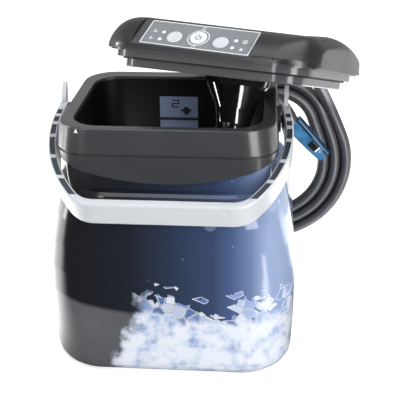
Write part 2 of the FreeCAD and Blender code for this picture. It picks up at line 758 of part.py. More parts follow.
def bail_edge(inset):
    """Return the outline of the bail in plan, as a wire inset from its outer faces."""
    pivot = plain(d.bail_pivot_half) - inset
    half = plain(d.bail_half) - inset
    belly = plain(d.bail_belly)
    side = plain(d.bail_side_radius) - inset
    corner = plain(d.bail_corner_radius) - inset
    reach = plain(d.bail_reach) - inset
    step = half - pivot
    rear = (belly * belly + step * step) / (2 * step)
    side_centre = half - side
    spread = side - corner
    sine = (reach - corner - belly) / spread
    cosine = math.sqrt(1 - sine * sine)
    join = Vector(side_centre + side * cosine, -belly - side * sine, 0)
    corner_centre = Vector(side_centre + spread * cosine, -belly - spread * sine, 0)
    half_turn = math.radians(45) + math.asin(sine) / 2
    middle = corner_centre + Vector(math.cos(half_turn), -math.sin(half_turn), 0) * corner
    grip = Vector(corner_centre.x, -reach, 0)
    hip = Vector(half, -belly, 0)
    knee = math.asin(sine) / 2
    side_mid = Vector(side_centre + side * math.cos(knee), -belly - side * math.sin(knee), 0)
    bow = math.asin(belly / rear) / 2
    rear_mid = Vector(half - rear + rear * math.cos(bow), -belly + rear * math.sin(bow), 0)
    heel = Vector(pivot, 0, 0)
    end = Vector(pivot, plain(d.hub_radius), 0)
    right = [
        Part.LineSegment(end, heel),
        Part.Arc(heel, rear_mid, hip),
        Part.Arc(hip, side_mid, join),
        Part.Arc(join, middle, grip),
    ]
    return right, grip, end


def mirrored(vector):
    """Return a point mirrored from side to side."""
    return Vector(-vector.x, vector.y, vector.z)


def bail_band(outer, inner):
    """Return the face between two insets of the bail's outline."""
    edges = []
    ends = []
    for inset in (outer, inner):
        right, grip, end = bail_edge(inset)
        shapes = [curve.toShape() for curve in right]
        left = [shape.mirror(Vector(0, 0, 0), X_AXIS) for shape in shapes]
        edges += shapes + left + [Part.LineSegment(grip, mirrored(grip)).toShape()]
        ends.append(end)
    edges.append(Part.LineSegment(ends[0], ends[1]).toShape())
    edges.append(Part.LineSegment(mirrored(ends[0]), mirrored(ends[1])).toShape())
    return Part.Face(Part.Wire(Part.__sortEdges__(edges)))


def arm_profile():
    """Return a solid that bounds the bail's arms as seen from the side."""
    top = plain(d.bail_height) / 2 + 1
    hub = plain(d.hub_radius)
    reach = plain(d.bail_reach)
    waist = top * 0.72
    points = [
        Vector(0, 0, top),
        Vector(0, -reach - 1, top),
        Vector(0, -reach - 1, -top),
        Vector(0, -reach * 0.45, -top),
        Vector(0, -hub * 0.4, -waist),
        Vector(0, 0, -waist),
        Vector(0, 0, top),
    ]
    width = plain(d.bail_half) + 5
    side = Part.Face(Part.makePolygon(points)).extrude(Vector(2 * width, 0, 0))
    side.translate(Vector(-width, 0, 0))
    disc = Part.makeCylinder(hub, 2 * width, Vector(-width, 0, 0), X_AXIS)
    return side.fuse(disc)


def grip_shape():
    """Return the strap of the bail with its hubs, rounded along its edges."""
    height = plain(d.bail_height)
    strap = bail_band(0, plain(d.bail_thickness)).extrude(Vector(0, 0, height))
    strap.translate(Vector(0, 0, -height / 2))
    long_edges = []
    for edge in strap.Edges:
        extent = edge.BoundBox
        if extent.ZLength < 0.01 and extent.YMin < plain(d.hub_radius) - 0.01:
            long_edges.append(edge)
    rounded = strap.makeFillet(plain(d.bail_edge), long_edges)
    return rounded.common(arm_profile()).Solids[0]


def inlay_stations():
    """Return the stretches of the arms that carry an inlay, as distances from the pivots."""
    reach = plain(d.bail_reach)
    rib = plain(d.rib_width)
    starts = [0.035, 0.115, 0.2, 0.335, 0.545, 0.745]
    ends = [0.105, 0.19, 0.325, 0.535, 0.735, 0.915]
    return [(start * reach + rib / 2, end * reach - rib / 2) for start, end in zip(starts, ends)]


def inlay_shapes(grow):
    """Return the inlays of one arm, or their pockets where grow is given."""
    middle = plain(d.bail_thickness) / 2
    half = plain(d.inlay_width) / 2 + grow
    top = plain(d.bail_height) / 2
    depth = plain(d.inlay_depth)
    band = bail_band(middle - half, middle + half)
    pieces = []
    for start, end in inlay_stations():
        length = end - start + 2 * grow
        block = Part.makeBox(60, length, 4 * top, Vector(70, -end - grow, -2 * top))
        piece = band.extrude(Vector(0, 0, 4 * top))
        piece.translate(Vector(0, 0, -2 * top))
        pieces.append(piece.common(block))
    roof = arm_roof(plain(d.inlay_sink) - 3 * (grow > 0))
    floor = arm_roof(depth)
    return [piece.common(floor[1]).cut(roof[1]) for piece in pieces]


def arm_roof(sink):
    """Return the bounds below and above a surface sunk under the arm's upper edge."""
    top = plain(d.bail_height) / 2 - sink
    hub = plain(d.hub_radius) - sink
    taper = plain(d.bail_reach) * 0.45
    points = [(0, hub), (-taper, top), (-200, top), (-200, top + 60), (0, top + 60), (0, hub)]
    face = Part.Face(Part.makePolygon([Vector(60, y, z) for y, z in points]))
    above = face.extrude(Vector(80, 0, 0))
    return None, above


def make_bail():
    """Bail with tapered arms, pocketed upper edges, hubs and thumb tips."""
    shape = grip_shape()
    hub_bore = plain(d.pin_radius + d.pin_play)
    width = plain(d.bail_half) + 5
    shape = shape.fuse(thumb_tips())
    shape = shape.cut(Part.makeCylinder(hub_bore, 2 * width, Vector(-width, 0, 0), X_AXIS))
    recess = plain(d.pin_head_radius + 0.4)
    for side in (-1, 1):
        face = Vector(side * plain(d.bail_pivot_half), 0, 0)
        shape = shape.cut(Part.makeCylinder(recess, 8, face, X_AXIS * side))
    for piece in inlay_shapes(0.05):
        shape = shape.cut(piece)
        shape = shape.cut(piece.mirror(Vector(0, 0, 0), X_AXIS))
    bail = doc.addObject("Part::Feature", "bail_shape")
    bail.Shape = shape
    keep(bail, "handle_bail", bail_placement())
    for label, mirror in (("handle_inlays_right", False), ("handle_inlays_left", True)):
        pieces = inlay_shapes(0)
        if mirror:
            pieces = [piece.mirror(Vector(0, 0, 0), X_AXIS) for piece in pieces]
        inlays = doc.addObject("Part::Feature", label + "_shape")
        inlays.Shape = Part.makeCompound([piece.Solids[0] for piece in pieces])
        keep(inlays, label, bail_placement())


def thumb_tips():
    """Return the leaf-shaped tips that stand up from the hubs."""
    length, half = plain(d.tip_length), plain(d.tip_width) / 2
    thick = plain(d.tip_thickness)
    root_half = half * 0.62
    outer = plain(d.bail_pivot_half)
    lean = Rotation(X_AXIS, -plain(d.tip_lean + d.bail_drop))
    shoulder = length * 0.62
    outline = [
        Part.LineSegment(Vector(0, -root_half, 0), Vector(0, -root_half, length * 0.3)),
        Part.LineSegment(Vector(0, root_half, length * 0.3), Vector(0, root_half, 0)),
        Part.LineSegment(Vector(0, root_half, 0), Vector(0, -root_half, 0)),
        Part.Arc(
            Vector(0, -root_half, length * 0.3),
            Vector(0, -half, shoulder),
            Vector(0, -half * 0.5, length * 0.93),
        ),
        Part.Arc(
            Vector(0, -half * 0.5, length * 0.93),
            Vector(0, 0, length),
            Vector(0, half * 0.5, length * 0.93),
        ),
        Part.Arc(
            Vector(0, half * 0.5, length * 0.93),
            Vector(0, half, shoulder),
            Vector(0, root_half, length * 0.3),
        ),
    ]
    wire = Part.Wire(Part.__sortEdges__([curve.toShape() for curve in outline]))
    leaf = Part.Face(wire).extrude(Vector(thick, 0, 0))
    tips = []
    for side in (-1, 1):
        tip = leaf.copy()
        inner = outer - thick - 2 if side > 0 else -outer + 2
        tip.Placement = Placement(Vector(inner, 0, 0), lean)
        tips.append(tip)
    return tips


# ---------------------------------------------------------------- lid


def thumb_tip_top():
    """Return the highest point of the right thumb tip, on its outer face."""
    length = plain(d.tip_length)
    lean = Rotation(X_AXIS, -plain(d.tip_lean))
    rise = lean.multVec(Vector(0, 0, length))
    x = plain(d.bail_pivot_half) - 2
    return Vector(x, rise.y - plain(d.pivot_forward), rise.z + plain(d.pivot_height))


def lid_placement():
    """Return the placement of the lid frame, with the plug leaning on the right thumb tip."""
    turn = Rotation(Z_AXIS, -plain(d.lid_turn))
    tip = Rotation(X_AXIS, -plain(d.lid_tip))
    lean = Rotation(Y_AXIS, -plain(d.lid_lean))
    rotation = turn.multiply(tip).multiply(lean)
    normal = rotation.multVec(Z_AXIS)
    touch = thumb_tip_top() + Vector(0, 0, plain(d.lid_seat))
    across = normal.x * (touch.x - plain(d.lid_right))
    along = normal.y * (touch.y + plain(d.lid_front))
    height = touch.z + (across + along + plain(d.plug_height)) / normal.z
    return at(d.lid_right, -d.lid_front, height, rotation)


def on_lid(x, y, z, rotation=None):
    """Return a placement given in the lid frame."""
    return lid_placement().multiply(at(x, y, z, rotation))


def panel_frame():
    """Return the panel's frame in the lid frame: origin at the middle of the bezel's foot."""
    front = -d.cover_depth / 2
    lean = Rotation(Y_AXIS, plain(d.panel_lean))
    turn = lean.multiply(Rotation(X_AXIS, plain(d.panel_slope)))
    return at(-d.bezel_left, front, d.panel_foot, turn)


def on_panel(x, y, z):
    """Return a placement given across the panel, up its slope and out of its face."""
    return lid_placement().multiply(panel_frame()).multiply(at(x, y, z))


def cover_rows():
    """Return height, half width, half depth, corner, shift, move and tip of the sections."""
    half = d.cover_width / 2
    depth = d.cover_depth / 2
    rise = d.cover_height - d.panel_foot
    rows = []
    for part, left, right, front, back, tip in (
        (0, 0, 0, 0, 0, 0),
        (0.42, 2.5, 0, 6.5, 1.5, 0.35),
        (0.72, 8, 0, 15, 4.5, 0.7),
        (0.9, 15, 1, 23.5, 10, 0.9),
        (1, 26, 3, 34, 20, 1),
    ):
        height = d.panel_foot + rise * part
        mid = (front - back) / 2
        half_depth = depth - (front + back) / 2
        half_width = half - (left + right) / 2
        move = (left - right) / 2
        corner = d.cover_corner - left * 0.85
        rows.append((height, half_width, half_depth, corner, mid, move, tip))
    return rows


def cover_outlines(body, rows):
    """Draw the cover's sections, each tipped a little more towards the back."""
    drawn = []
    for z, half_width, half_depth, corner, mid, move, tip in rows:
        sketch = new_sketch(body, height=z, fall=d.cover_fall * tip, lean=d.cover_lean * tip)
        rounded_outline(sketch, half_width, half_depth, corner, Size(mid, str(mid)))
        sketch.AttachmentOffset = sketch.AttachmentOffset.multiply(at(move, 0, 0))
        drawn.append(sketch)
    return drawn


def make_cover():
    """Moulded cover with a pillowed top, a sunk sloping panel seat and a hollow inside."""
    body = new_body("lid_cover")
    skirt = new_sketch(body, height=d.cover_low)
    rounded_outline(skirt, d.cover_width / 2, d.cover_depth / 2, d.cover_corner)
    pad(body, skirt, d.panel_foot - d.cover_low)
    loft(body, cover_outlines(body, cover_rows()))
    inside = new_sketch(body, height=d.cover_low)
    wall = d.cover_wall
    half_width = d.cover_width / 2 - wall
    half_depth = d.cover_depth / 2 - wall
    rounded_outline(inside, half_width, half_depth, d.cover_corner - wall)
    pocket(body, inside, d.panel_foot - d.cover_low - 2, reverse=True)
    cave_cut = cut("cover_hollow", body, cover_hollow(half_width, half_depth))
    seat = box("panel_seat", d.bezel_width + 0.4, d.bezel_length + 0.4, 30, on_flat_panel())
    seat_cut = cut("cover_seat", cave_cut, seat)
    under = on_flat_panel().multiply(at(0, 0, -plain(d.well_depth)))
    well = box("panel_well", d.well_width, d.well_length, d.well_depth + 1, under)
    well_cut = cut("cover_well", seat_cut, well)
    hole = cylinder("inlet_hole", 4.5, 20, inlet_frame())
    keep(cut("cover_whole", well_cut, hole), "lid_cover", lid_placement())


def cover_hollow(half_width, half_depth):
    """Return the stepped hollow under the cover's top, highest over the air pump."""
    low = d.cover_low + 0.5
    wide = prism("cover_cave", half_width - 8, half_depth - 15, 24, low, d.cover_cave - low, 9)
    middle = prism("middle_cave", 70, 54, 20, low, d.middle_cave - low, 5)
    high = prism("pump_cave", 50, 21, 6, low, d.pump_cave - low, 17)
    high.Placement = at(-16, 0, 0)
    return fuse("cover_caves", [wide, middle, high])


def on_flat_panel():
    """Return the panel seat's placement in the lid frame."""
    return panel_frame().multiply(at(0, d.bezel_length / 2, -plain(d.bezel_thickness)))


def make_lid_base():
    """Flange and deck that close the cover from below, and the plug under them."""
    body = new_body("lid_base")
    flange = new_sketch(body, height=0)
    rounded_outline(flange, d.flange_width / 2, d.flange_depth / 2, d.flange_corner)
    pad(body, flange, d.flange_height)
    deck = new_sketch(body, height=d.flange_height)
    edge = d.cover_wall + d.seat_gap
    half_width = d.cover_width / 2 - edge
    rounded_outline(deck, half_width, d.cover_depth / 2 - edge, d.cover_corner - edge)
    pad(body, deck, d.deck_height)
    keep(body, "lid_base", lid_placement())
    plug = prism(
        "lid_plug",
        d.plug_width / 2,
        d.plug_depth / 2,
        d.plug_corner,
        -d.plug_height,
        d.plug_height,
    )
    round_edges(plug, 1.5, level(-d.plug_height))
    keep(plug, "lid_plug", lid_placement())
    gasket = new_body("lid_gasket")
    ring = new_sketch(gasket, height=-d.gasket_height)
    inner = d.seat_gap
    outer = d.seat_gap + d.gasket_width
    rounded_outline(ring, d.plug_width / 2 + inner, d.plug_depth / 2 + inner, d.plug_corner + inner)
    rounded_outline(ring, d.plug_width / 2 + outer, d.plug_depth / 2 + outer, d.plug_corner + outer)
    pad(gasket, ring, d.gasket_height)
    keep(gasket, "lid_gasket", lid_placement())


def button_places():
    """Return the places of the three buttons from the bezel's foot, across and up."""
    middle = plain(d.overlay_shift)
    pitch = plain(d.button_pitch)
    span = plain(d.bezel_length) / 2
    side = span + plain(d.button_lift)
    return {
        "cold_button": (middle - pitch, side),
        "power_button": (middle, span + plain(d.power_lift)),
        "compression_button": (middle + pitch, side),
    }


def lamp_places():
    """Return the places of the four indicator lenses from the bezel's foot."""
    middle = plain(d.overlay_shift)
    spread = plain(d.lamp_spread)
    upper = plain(d.bezel_length) / 2 + plain(d.lamp_lift)
    lower = upper - plain(d.lamp_step)
    return [(middle + side, up) for side in (-spread, spread) for up in (upper, lower)]


def make_panel():
    """Bezel, overlay, lenses and buttons of the control panel."""
    span = plain(d.bezel_length) / 2
    place = on_panel(0, span, -d.bezel_thickness)
    bezel = box("bezel_plate", d.bezel_width, d.bezel_length, d.bezel_thickness, place)
    hole_radius = d.button_radius + d.button_hole_gap
    holes = []
    for name, (across, up) in button_places().items():
        holes.append(cylinder("hole_" + name, hole_radius, 20, on_panel(across, up, -10)))
    for number, (across, up) in enumerate(lamp_places(), start=1):
        place = on_panel(across, up, -10)
        holes.append(cylinder(f"lamp_well_{number}", d.lamp_radius + 0.1, 20, place))
    drilling = group("panel_drilling", holes)
    keep(cut("bezel_drilled", bezel, drilling), "panel_bezel")
    place = on_panel(d.overlay_shift, span, 0.02)
    overlay = box(
        "overlay_plate", d.overlay_width, d.overlay_length, d.overlay_thickness, place
    )
    keep(cut("overlay_drilled", overlay, drilling), "panel_overlay")
    lenses = []
    for number, (across, up) in enumerate(lamp_places(), start=1):
        lenses.append(cylinder(f"lamp_{number}", d.lamp_radius, 2.2, on_panel(across, up, -1.4)))
    keep(group("lamp_set", lenses), "indicator_lenses")
    height = d.button_depth + d.button_rise + d.overlay_thickness
    for name, (across, up) in button_places().items():
        place = on_panel(across, up, -d.button_depth)
        keep(cylinder(name + "_cap", d.button_radius, height, place), name)


def make_electronics():
    """Board, switches, air pump, valve block and tubes inside the cover."""
    span = plain(d.bezel_length) / 2
    board_drop = plain(d.button_depth) + plain(d.button_travel) + 1.6 + 0.4
    board = box("board_plate", 84, 20, 1.4, on_panel(0, span, -board_drop - 1.4))
    post_height = board_drop - plain(d.bezel_thickness) - 0.3
    posts = [
        cylinder(f"board_post_{number}", 2, post_height, on_panel(across, span, -board_drop))
        for number, across in enumerate((-38, 38), start=1)
    ]
    keep(fuse("board_whole", [board] + posts), "control_board")
    switches = []
    for name, (across, up) in button_places().items():
        switches.append(cylinder("switch_" + name, 3, 1.5, on_panel(across, up, -board_drop)))
    keep(group("switch_set", switches), "dome_switches")
    deck = d.flange_height + d.deck_height
    keep(cylinder("air_pump_can", 7.5, 46, on_lid(-62, 22, deck + 7.6, ALONG_X)), "air_pump")
    keep(box("valve_box", 30, 24, 14, on_lid(16, 24, deck)), "valve_block")
    tube_length = 15 - 46 + 62 - 16 + 1 - 0.4
    tube = cylinder("air_tube_run", 2, tube_length, on_lid(-15.8, 24, deck + 7.6, ALONG_X))
    keep(tube, "air_tube")


def inlet_frame():
    """Return the power inlet's frame in the lid frame, with z running into the cover."""
    back = plain(d.cover_depth) / 2
    return at(-48, back + 1.2, 13.2, Rotation(X_AXIS, 90))


def make_inlet():
    """Power inlet in the back wall of the cover."""
    place = lid_placement().multiply(inlet_frame())
    flange = cylinder("inlet_flange", 5.4, 1.2, place)
    barrel = cylinder("inlet_barrel", 4.2, 12, place)
    bore = cylinder("inlet_bore", d.inlet_radius, d.inlet_depth, place)
    keep(cut("inlet_whole", fuse("inlet_body", [flange, barrel]), bore), "power_inlet")


def column_placement():
    """Return the placement of the pump column's own frame, behind the lid's middle."""
    return on_lid(-d.column_left, d.column_shift, 0)


def make_column():
    """Pump column: funnel, tube, housing, motor, impeller, strainer and pickup."""
    top = -d.plug_height
    column = new_body("pump_column")
    low = -d.plug_height - d.column_length + d.pump_length
    neck = top - d.funnel_length
    outline = [
        (d.column_wall * 0, top),
        (d.funnel_radius, top),
        (d.funnel_radius - 1.5, top - 6),
        (d.column_radius + 3, top - d.funnel_length * 0.66),
        (d.column_radius, neck),
        (d.column_radius, low),
        (d.column_wall * 0, low),
    ]
    revolve(column, polygon_outline(new_sketch(column, "XZ_Plane"), outline))
    inside = d.column_radius - d.column_wall
    hollow = new_sketch(column, height=low)
    circle_outline(hollow, inside)
    pocket(column, hollow, d.column_length - d.pump_length - d.funnel_length, reverse=True)
    keep(column, "pump_column", column_placement())
    make_pump(low)


def make_pump(low):
    """Water pump at the foot of the column, with a closed volute and a strainer."""
    housing = new_body("pump_housing")
    foot = low - d.pump_length
    wall = d.column_wall
    shell = new_sketch(housing, height=foot)
    circle_outline(shell, d.pump_radius)
    pad(housing, shell, d.pump_length - d.seat_gap)
    chamber = new_sketch(housing, height=foot + wall)
    circle_outline(chamber, d.rotor_radius + d.rotor_gap)
    chamber_height = d.rotor_height + d.rotor_gap * 2
    pocket(housing, chamber, chamber_height, reverse=True)
    mouth = new_sketch(housing, height=foot + wall)
    circle_outline(mouth, d.rotor_radius * 0.45)
    pocket(housing, mouth)
    shaft_way = new_sketch(housing, height=foot + wall + chamber_height)
    circle_outline(shaft_way, d.shaft_radius + 0.6)
    pocket(housing, shaft_way, reverse=True)
    outlet = new_sketch(housing, height=foot + wall + d.rotor_gap)
    port = d.rotor_radius * 0.72
    circle_outline(outlet, d.rotor_height * 0.35, port, 0)
    pocket(housing, outlet, reverse=True)
    keep(housing, "pump_housing", column_placement())
    make_rotor(foot + wall + d.rotor_gap)
    make_motor(low, foot + wall + d.rotor_gap)
    make_strainer(foot)


def make_rotor(low):
    """Open impeller: a disc with curved blades round a bored hub."""
    radius, height = plain(d.rotor_radius), plain(d.rotor_height)
    disc = Part.makeCylinder(radius, 1.6)
    hub = Part.makeCylinder(radius * 0.34, height)
    blade_arc = radius * 0.8
    thick = 0.9
    ring = Part.makeCylinder(blade_arc, height).cut(Part.makeCylinder(blade_arc - thick, height))
    blades = []
    for turn in range(6):
        blade = ring.copy()
        blade.translate(Vector(0, blade_arc * 0.9, 0))
        half_plane = Part.makeBox(4 * radius, 4 * radius, height, Vector(0, -2 * radius, 0))
        blade = blade.common(half_plane).common(Part.makeCylinder(radius, height))
        blade.rotate(Vector(0, 0, 0), Z_AXIS, 60 * turn)
        blades.append(blade)
    rotor = disc.fuse([hub] + blades)
    bore = plain(d.shaft_radius + d.shaft_play)
    rotor = rotor.cut(Part.makeCylinder(bore, height))
    thing = doc.addObject("Part::Feature", "rotor_shape")
    thing.Shape = rotor
    keep(thing, "pump_impeller", on_lid(-d.column_left, d.column_shift, low))


def make_motor(low, rotor_low):
    """Motor in the column's foot, with its shaft down through the impeller."""
    can = cylinder("motor_can", d.motor_radius, d.motor_length, on_lid(-d.column_left, d.column_shift, low + 0.3))
    reach = low + 0.3 - rotor_low
    shaft = cylinder("motor_shaft", d.shaft_radius, reach + 1, on_lid(-d.column_left, d.column_shift, rotor_low))
    keep(fuse("motor_whole", [can, shaft]), "pump_motor")


def make_strainer(foot):
    """Slotted strainer cap under the pump."""
    body = new_body("pump_strainer")
    sketch = new_sketch(body, height=foot - 4)
    circle_outline(sketch, d.pump_radius - 2)
    pad(body, sketch, 4 - 0.3)
    hole = new_sketch(body, height=foot - 4)
    circle_outline(hole, d.rotor_radius * 0.5, d.rotor_radius * 0 + 0.0, 0.0)
    pocket(body, hole, reverse=True)
    slot = new_sketch(body, height=foot - 4)
    rounded_outline(slot, d.pump_radius + 2, 1.6, 0.8)
    pocket(body, slot, 2.4, reverse=True)
    keep(body, "pump_strainer", column_placement())


# ---------------------------------------------------------------- hose and connector


def gland_frame():
    """Return the hose gland's placement: z runs out of the cover along the hose."""
    back = d.cover_depth / 2
    droop = Rotation(X_AXIS, -90 - plain(d.gland_droop))
    return on_lid(d.gland_right, back, d.gland_height, droop)


def make_gland():
    """Angled strain relief on the cover's back wall, with rings round it."""
    frame = gland_frame()
    length = d.gland_length
    sleeve = doc.addObject("Part::Cone", "gland_sleeve")
    bind(sleeve, "Radius1", d.gland_radius)
    bind(sleeve, "Radius2", d.hose_radius + 1)
    bind(sleeve, "Height", length)
    sleeve.Placement = frame
    rings = []
    for step in (0.3, 0.55, 0.8):
        ring = doc.addObject("Part::Torus", f"gland_ring_{int(step * 100)}")
        ring.Radius1 = plain(d.gland_radius) * (1 - step) + plain(d.hose_radius + 1) * step
        ring.Radius2 = 0.8
        ring.Placement = frame.multiply(at(0, 0, plain(length) * step))
        rings.append(ring)
    block = doc.addObject("Part::Box", "gland_trim")
    block.Length, block.Width, block.Height = 80, 40, 80
    block.Placement = on_lid(plain(d.gland_right) - 40, plain(d.cover_depth) / 2 - 39.7, -30)
    keep(cut("gland_whole", fuse("gland_body", [sleeve] + rings), block), "hose_gland")


def hose_path(points):
    """Return a wire of straight runs joined by arcs as large as the runs allow."""
    spots = [Vector(*point) for point in points]
    edges = []
    start = spots[0]
    for before, corner, after in zip(spots, spots[1:], spots[2:]):
        into, out = corner - before, after - corner
        turn = into.getAngle(out)
        trim = 0.45 * min(into.Length, out.Length)
        radius = trim / math.tan(turn / 2)
        print(f"hose radius {radius:.1f} mm, {radius / plain(d.hose_radius) / 2:.1f} diameters")
        arc_start = corner - into.normalize() * trim
        arc_end = corner + out.normalize() * trim
        sag = (arc_start + arc_end) / 2 - corner
        depth = radius / math.cos(turn / 2) - radius
        middle = corner + sag.normalize() * depth
        edges.append(Part.LineSegment(start, arc_start).toShape())
        edges.append(Part.Arc(arc_start, middle, arc_end).toShape())
        start = arc_end
    edges.append(Part.LineSegment(start, spots[-1]).toShape())
    return Part.Wire(edges)


def hose_tube(points):
    """Return the solid of a stretch of hose and check its volume."""
    path = hose_path(points)
    heading = Vector(*points[1]) - Vector(*points[0])
    radius = plain(d.hose_radius)
    circle = Part.Wire(Part.makeCircle(radius, Vector(*points[0]), heading))
    tube = path.makePipeShell([circle], True, False)
    ideal = math.pi * radius * radius * path.Length
    if abs(tube.Volume / ideal - 1) > 0.01:
        raise ValueError("a hose tube has the wrong volume")
    return tube


def coil_ring():
    """Return the closed solid that the coiled turns of the hose fill."""
    radius = plain(d.hose_radius) + 0.4
    inner, outer = plain(d.coil_inner), plain(d.coil_outer)
    bead = radius * 0.75
    centre = Vector(plain(d.coil_right), plain(d.coil_back), plain(d.coil_height))
    ring = Part.makeCylinder(outer, 2 * radius, centre - Y_AXIS * radius, Y_AXIS)
    ring = ring.cut(Part.makeCylinder(inner, 2 * radius, centre - Y_AXIS * radius, Y_AXIS))
    return ring.makeFillet(bead, [edge for edge in ring.Edges if edge.Curve.TypeId.endswith("Circle")])


def make_hose():
    """Hose: the lead from the gland, the hanging coil and the tail into the connector."""
    frame = gland_frame()
    exit_point = frame.multVec(Vector(0, 0, plain(d.gland_length)))
    bend = frame.multVec(Vector(0, 0, plain(d.gland_length) + 10))
    lead = hose_tube([tuple(exit_point), tuple(bend)] + LEAD_POINTS)
    tail = hose_tube(TAIL_POINTS + [CONNECTOR_HEEL])
    ring = coil_ring()
    for label, shape in (("hose_lead", lead), ("hose_coil", ring), ("hose_tail", tail)):
        thing = doc.addObject("Part::Feature", label + "_shape")
        if label != "hose_coil":
            shape = max(shape.cut(ring).Solids, key=lambda solid: solid.Volume)
        thing.Shape = shape
        keep(thing, label)


def connector_frame():
    """Return the connector's frame: z along the connector, y out of its front face."""
    aim = Vector(*CONNECTOR_AIM)
    out = Vector(0, -1, 0)
    return Placement(Vector(*CONNECTOR_HEEL), Rotation(out.cross(aim), out, aim, "ZYX"))


def make_connector():
    """Hose connector with a tapered body, two ports, a latch tab and a release button."""
    frame = connector_frame()
    body = new_body("connector_body")
    depth = d.plug_end_depth / 2
    heel = rounded_outline(new_sketch(body, height=0), d.plug_hose_width / 2, depth, 4)
    waist_sketch = new_sketch(body, height=d.connector_length * 0.55)
    waist = rounded_outline(waist_sketch, d.plug_hose_width / 2 - 0.8, depth, 4)
    nose_sketch = new_sketch(body, height=d.connector_length)
    nose = rounded_outline(nose_sketch, d.plug_end_width / 2, depth, 3)
    loft(body, [heel, waist, nose], ruled=True)
    for side in (-1, 1):
        port = new_sketch(body, height=d.connector_length)
        spot = d.port_radius + 1
        circle_outline(port, d.port_radius, spot * side, 0.0)
        pocket(body, port, d.port_depth)
    well = new_sketch(body, "XZ_Plane")
    spot = d.connector_length * 0.64
    polygon_outline(well, well_corners(spot, d.connector_play))
    pocket(body, well, d.plug_end_depth)
    keep(body, "connector_body", frame)
    make_release_button(frame, spot)


def well_corners(spot, gap):
    """Return the outline of the release button's well."""
    half = 4.2 + gap if isinstance(gap, Size) is False else gap + 4.2
    reach = gap + 5.2
    return [(-half, spot - reach), (half, spot - reach), (half, spot + reach), (-half, spot + reach)]


def make_release_button(frame, spot):
    """Release button in the connector's well."""
    body = new_body("connector_button")
    sketch = new_sketch(body, height=spot - 5.2)
    sketch_shape = rounded_outline(sketch, 4.2, 3, 1.2, plain(d.plug_end_depth) / 2 - 1)
    pad(body, sketch_shape, 10.4)
    keep(body, "connector_button", frame)


# ---------------------------------------------------------------- whole model


def check_model():
    """Stop unless every object recomputed and every node is a sound shape."""
    for thing in doc.Objects:
        if {"Invalid", "Error"} & set(thing.State):
            raise ValueError(f"{thing.Name} failed: {thing.State}")
    for node in nodes:
        if node.Shape.isNull() or not node.Shape.isValid() or not node.Shape.Solids:
            raise ValueError(f"{node.Label} has no sound shape")


def main():
    """Build the model, check it and write one STEP file per node."""
    fill_sheet()
    make_outer_shell()
    make_inner_tub()
    make_insulation()
    make_collar()
    make_label()
    make_pivot_pins()
    make_base_pads()
    make_bail()
    make_cover()
    make_lid_base()
    make_panel()
    make_electronics()
    make_inlet()
    make_column()
    make_gland()
    make_hose()
    make_connector()
    doc.recompute()
    check_model()
    os.makedirs("parts", exist_ok=True)
    for node in nodes:
        node.Shape.exportStep(os.path.join("parts", node.Label + ".step"))
    print(len(nodes), "nodes written")


main()
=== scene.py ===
"""Studio scene of an insulated ice cooler with a lift-off pump lid and a coiled hose."""

import logging
from dataclasses import dataclass, field
from enum import Enum
from math import cos, exp, inf, pi, radians, sin, sqrt, tan, tau

import bmesh
import bpy
from mathutils import Matrix, Vector


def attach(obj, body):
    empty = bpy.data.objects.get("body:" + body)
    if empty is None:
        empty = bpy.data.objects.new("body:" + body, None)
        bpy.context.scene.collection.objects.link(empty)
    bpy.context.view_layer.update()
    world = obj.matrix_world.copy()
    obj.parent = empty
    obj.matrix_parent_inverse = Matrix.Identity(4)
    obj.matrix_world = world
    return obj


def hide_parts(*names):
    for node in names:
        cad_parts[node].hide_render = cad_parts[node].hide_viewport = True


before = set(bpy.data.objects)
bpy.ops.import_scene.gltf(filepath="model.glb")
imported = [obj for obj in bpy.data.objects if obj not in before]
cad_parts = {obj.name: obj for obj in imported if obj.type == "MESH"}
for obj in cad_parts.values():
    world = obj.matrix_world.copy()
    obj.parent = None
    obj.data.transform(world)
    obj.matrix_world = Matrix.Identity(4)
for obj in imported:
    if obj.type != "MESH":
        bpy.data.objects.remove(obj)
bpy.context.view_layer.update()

LOG = logging.getLogger("cooler")
MM = 0.001
WIDTH_PX = 400.0
SENSOR_MM = 36.0
HOSE = 13.0
# the hose connector's heel, in millimetres, and the way it points
HEEL = (123.7, 104.0, 206.4)
AIM = (0.679, 0.0, -0.734)

Material = bpy.types.Material
Tree = bpy.types.NodeTree
Node = bpy.types.Node
Socket = bpy.types.NodeSocket
Value = Socket | float | tuple


class Body(Enum):
    """Rigid bodies that the script's own pieces ride on."""

    COOLER = "cooler"
    LID = "lid"
    COLD = "cold_key"
    POWER = "power_key"
    COMPRESSION = "compression_key"


def linear(code: str) -> tuple[float, float, float, float]:
    """Return an sRGB colour, six hex digits after a hash, as a linear one with an alpha."""
    values = [int(code[i : i + 2], 16) / 255 for i in (1, 3, 5)]
    mixed = [v / 12.92 if v <= 0.04045 else ((v + 0.055) / 1.055) ** 2.4 for v in values]
    return (*mixed, 1.0)


def per_metre(size_mm: float) -> float:
    """Return the texture scale that gives features of a size in millimetres."""
    return 1000.0 / size_mm


def clamped(part: float) -> float:
    """Return a share kept between 0 and 1."""
    return min(1.0, max(0.0, part))


def ease(part: float) -> float:
    """Return a share from 0 to 1 with soft ends."""
    part = clamped(part)
    return part * part * (3 - 2 * part)


def hump(value: float, middle: float, half: float) -> float:
    """Return 1 at a middle, falling off to 0 on both sides."""
    return exp(-(((value - middle) / half) ** 2))


def tie(node: Node, sockets: dict) -> None:
    """Give a node's inputs their values, or link them to the outputs that feed them."""
    for name, value in sockets.items():
        if isinstance(value, Socket):
            node.id_data.links.new(value, node.inputs[name])
        else:
            node.inputs[name].default_value = value


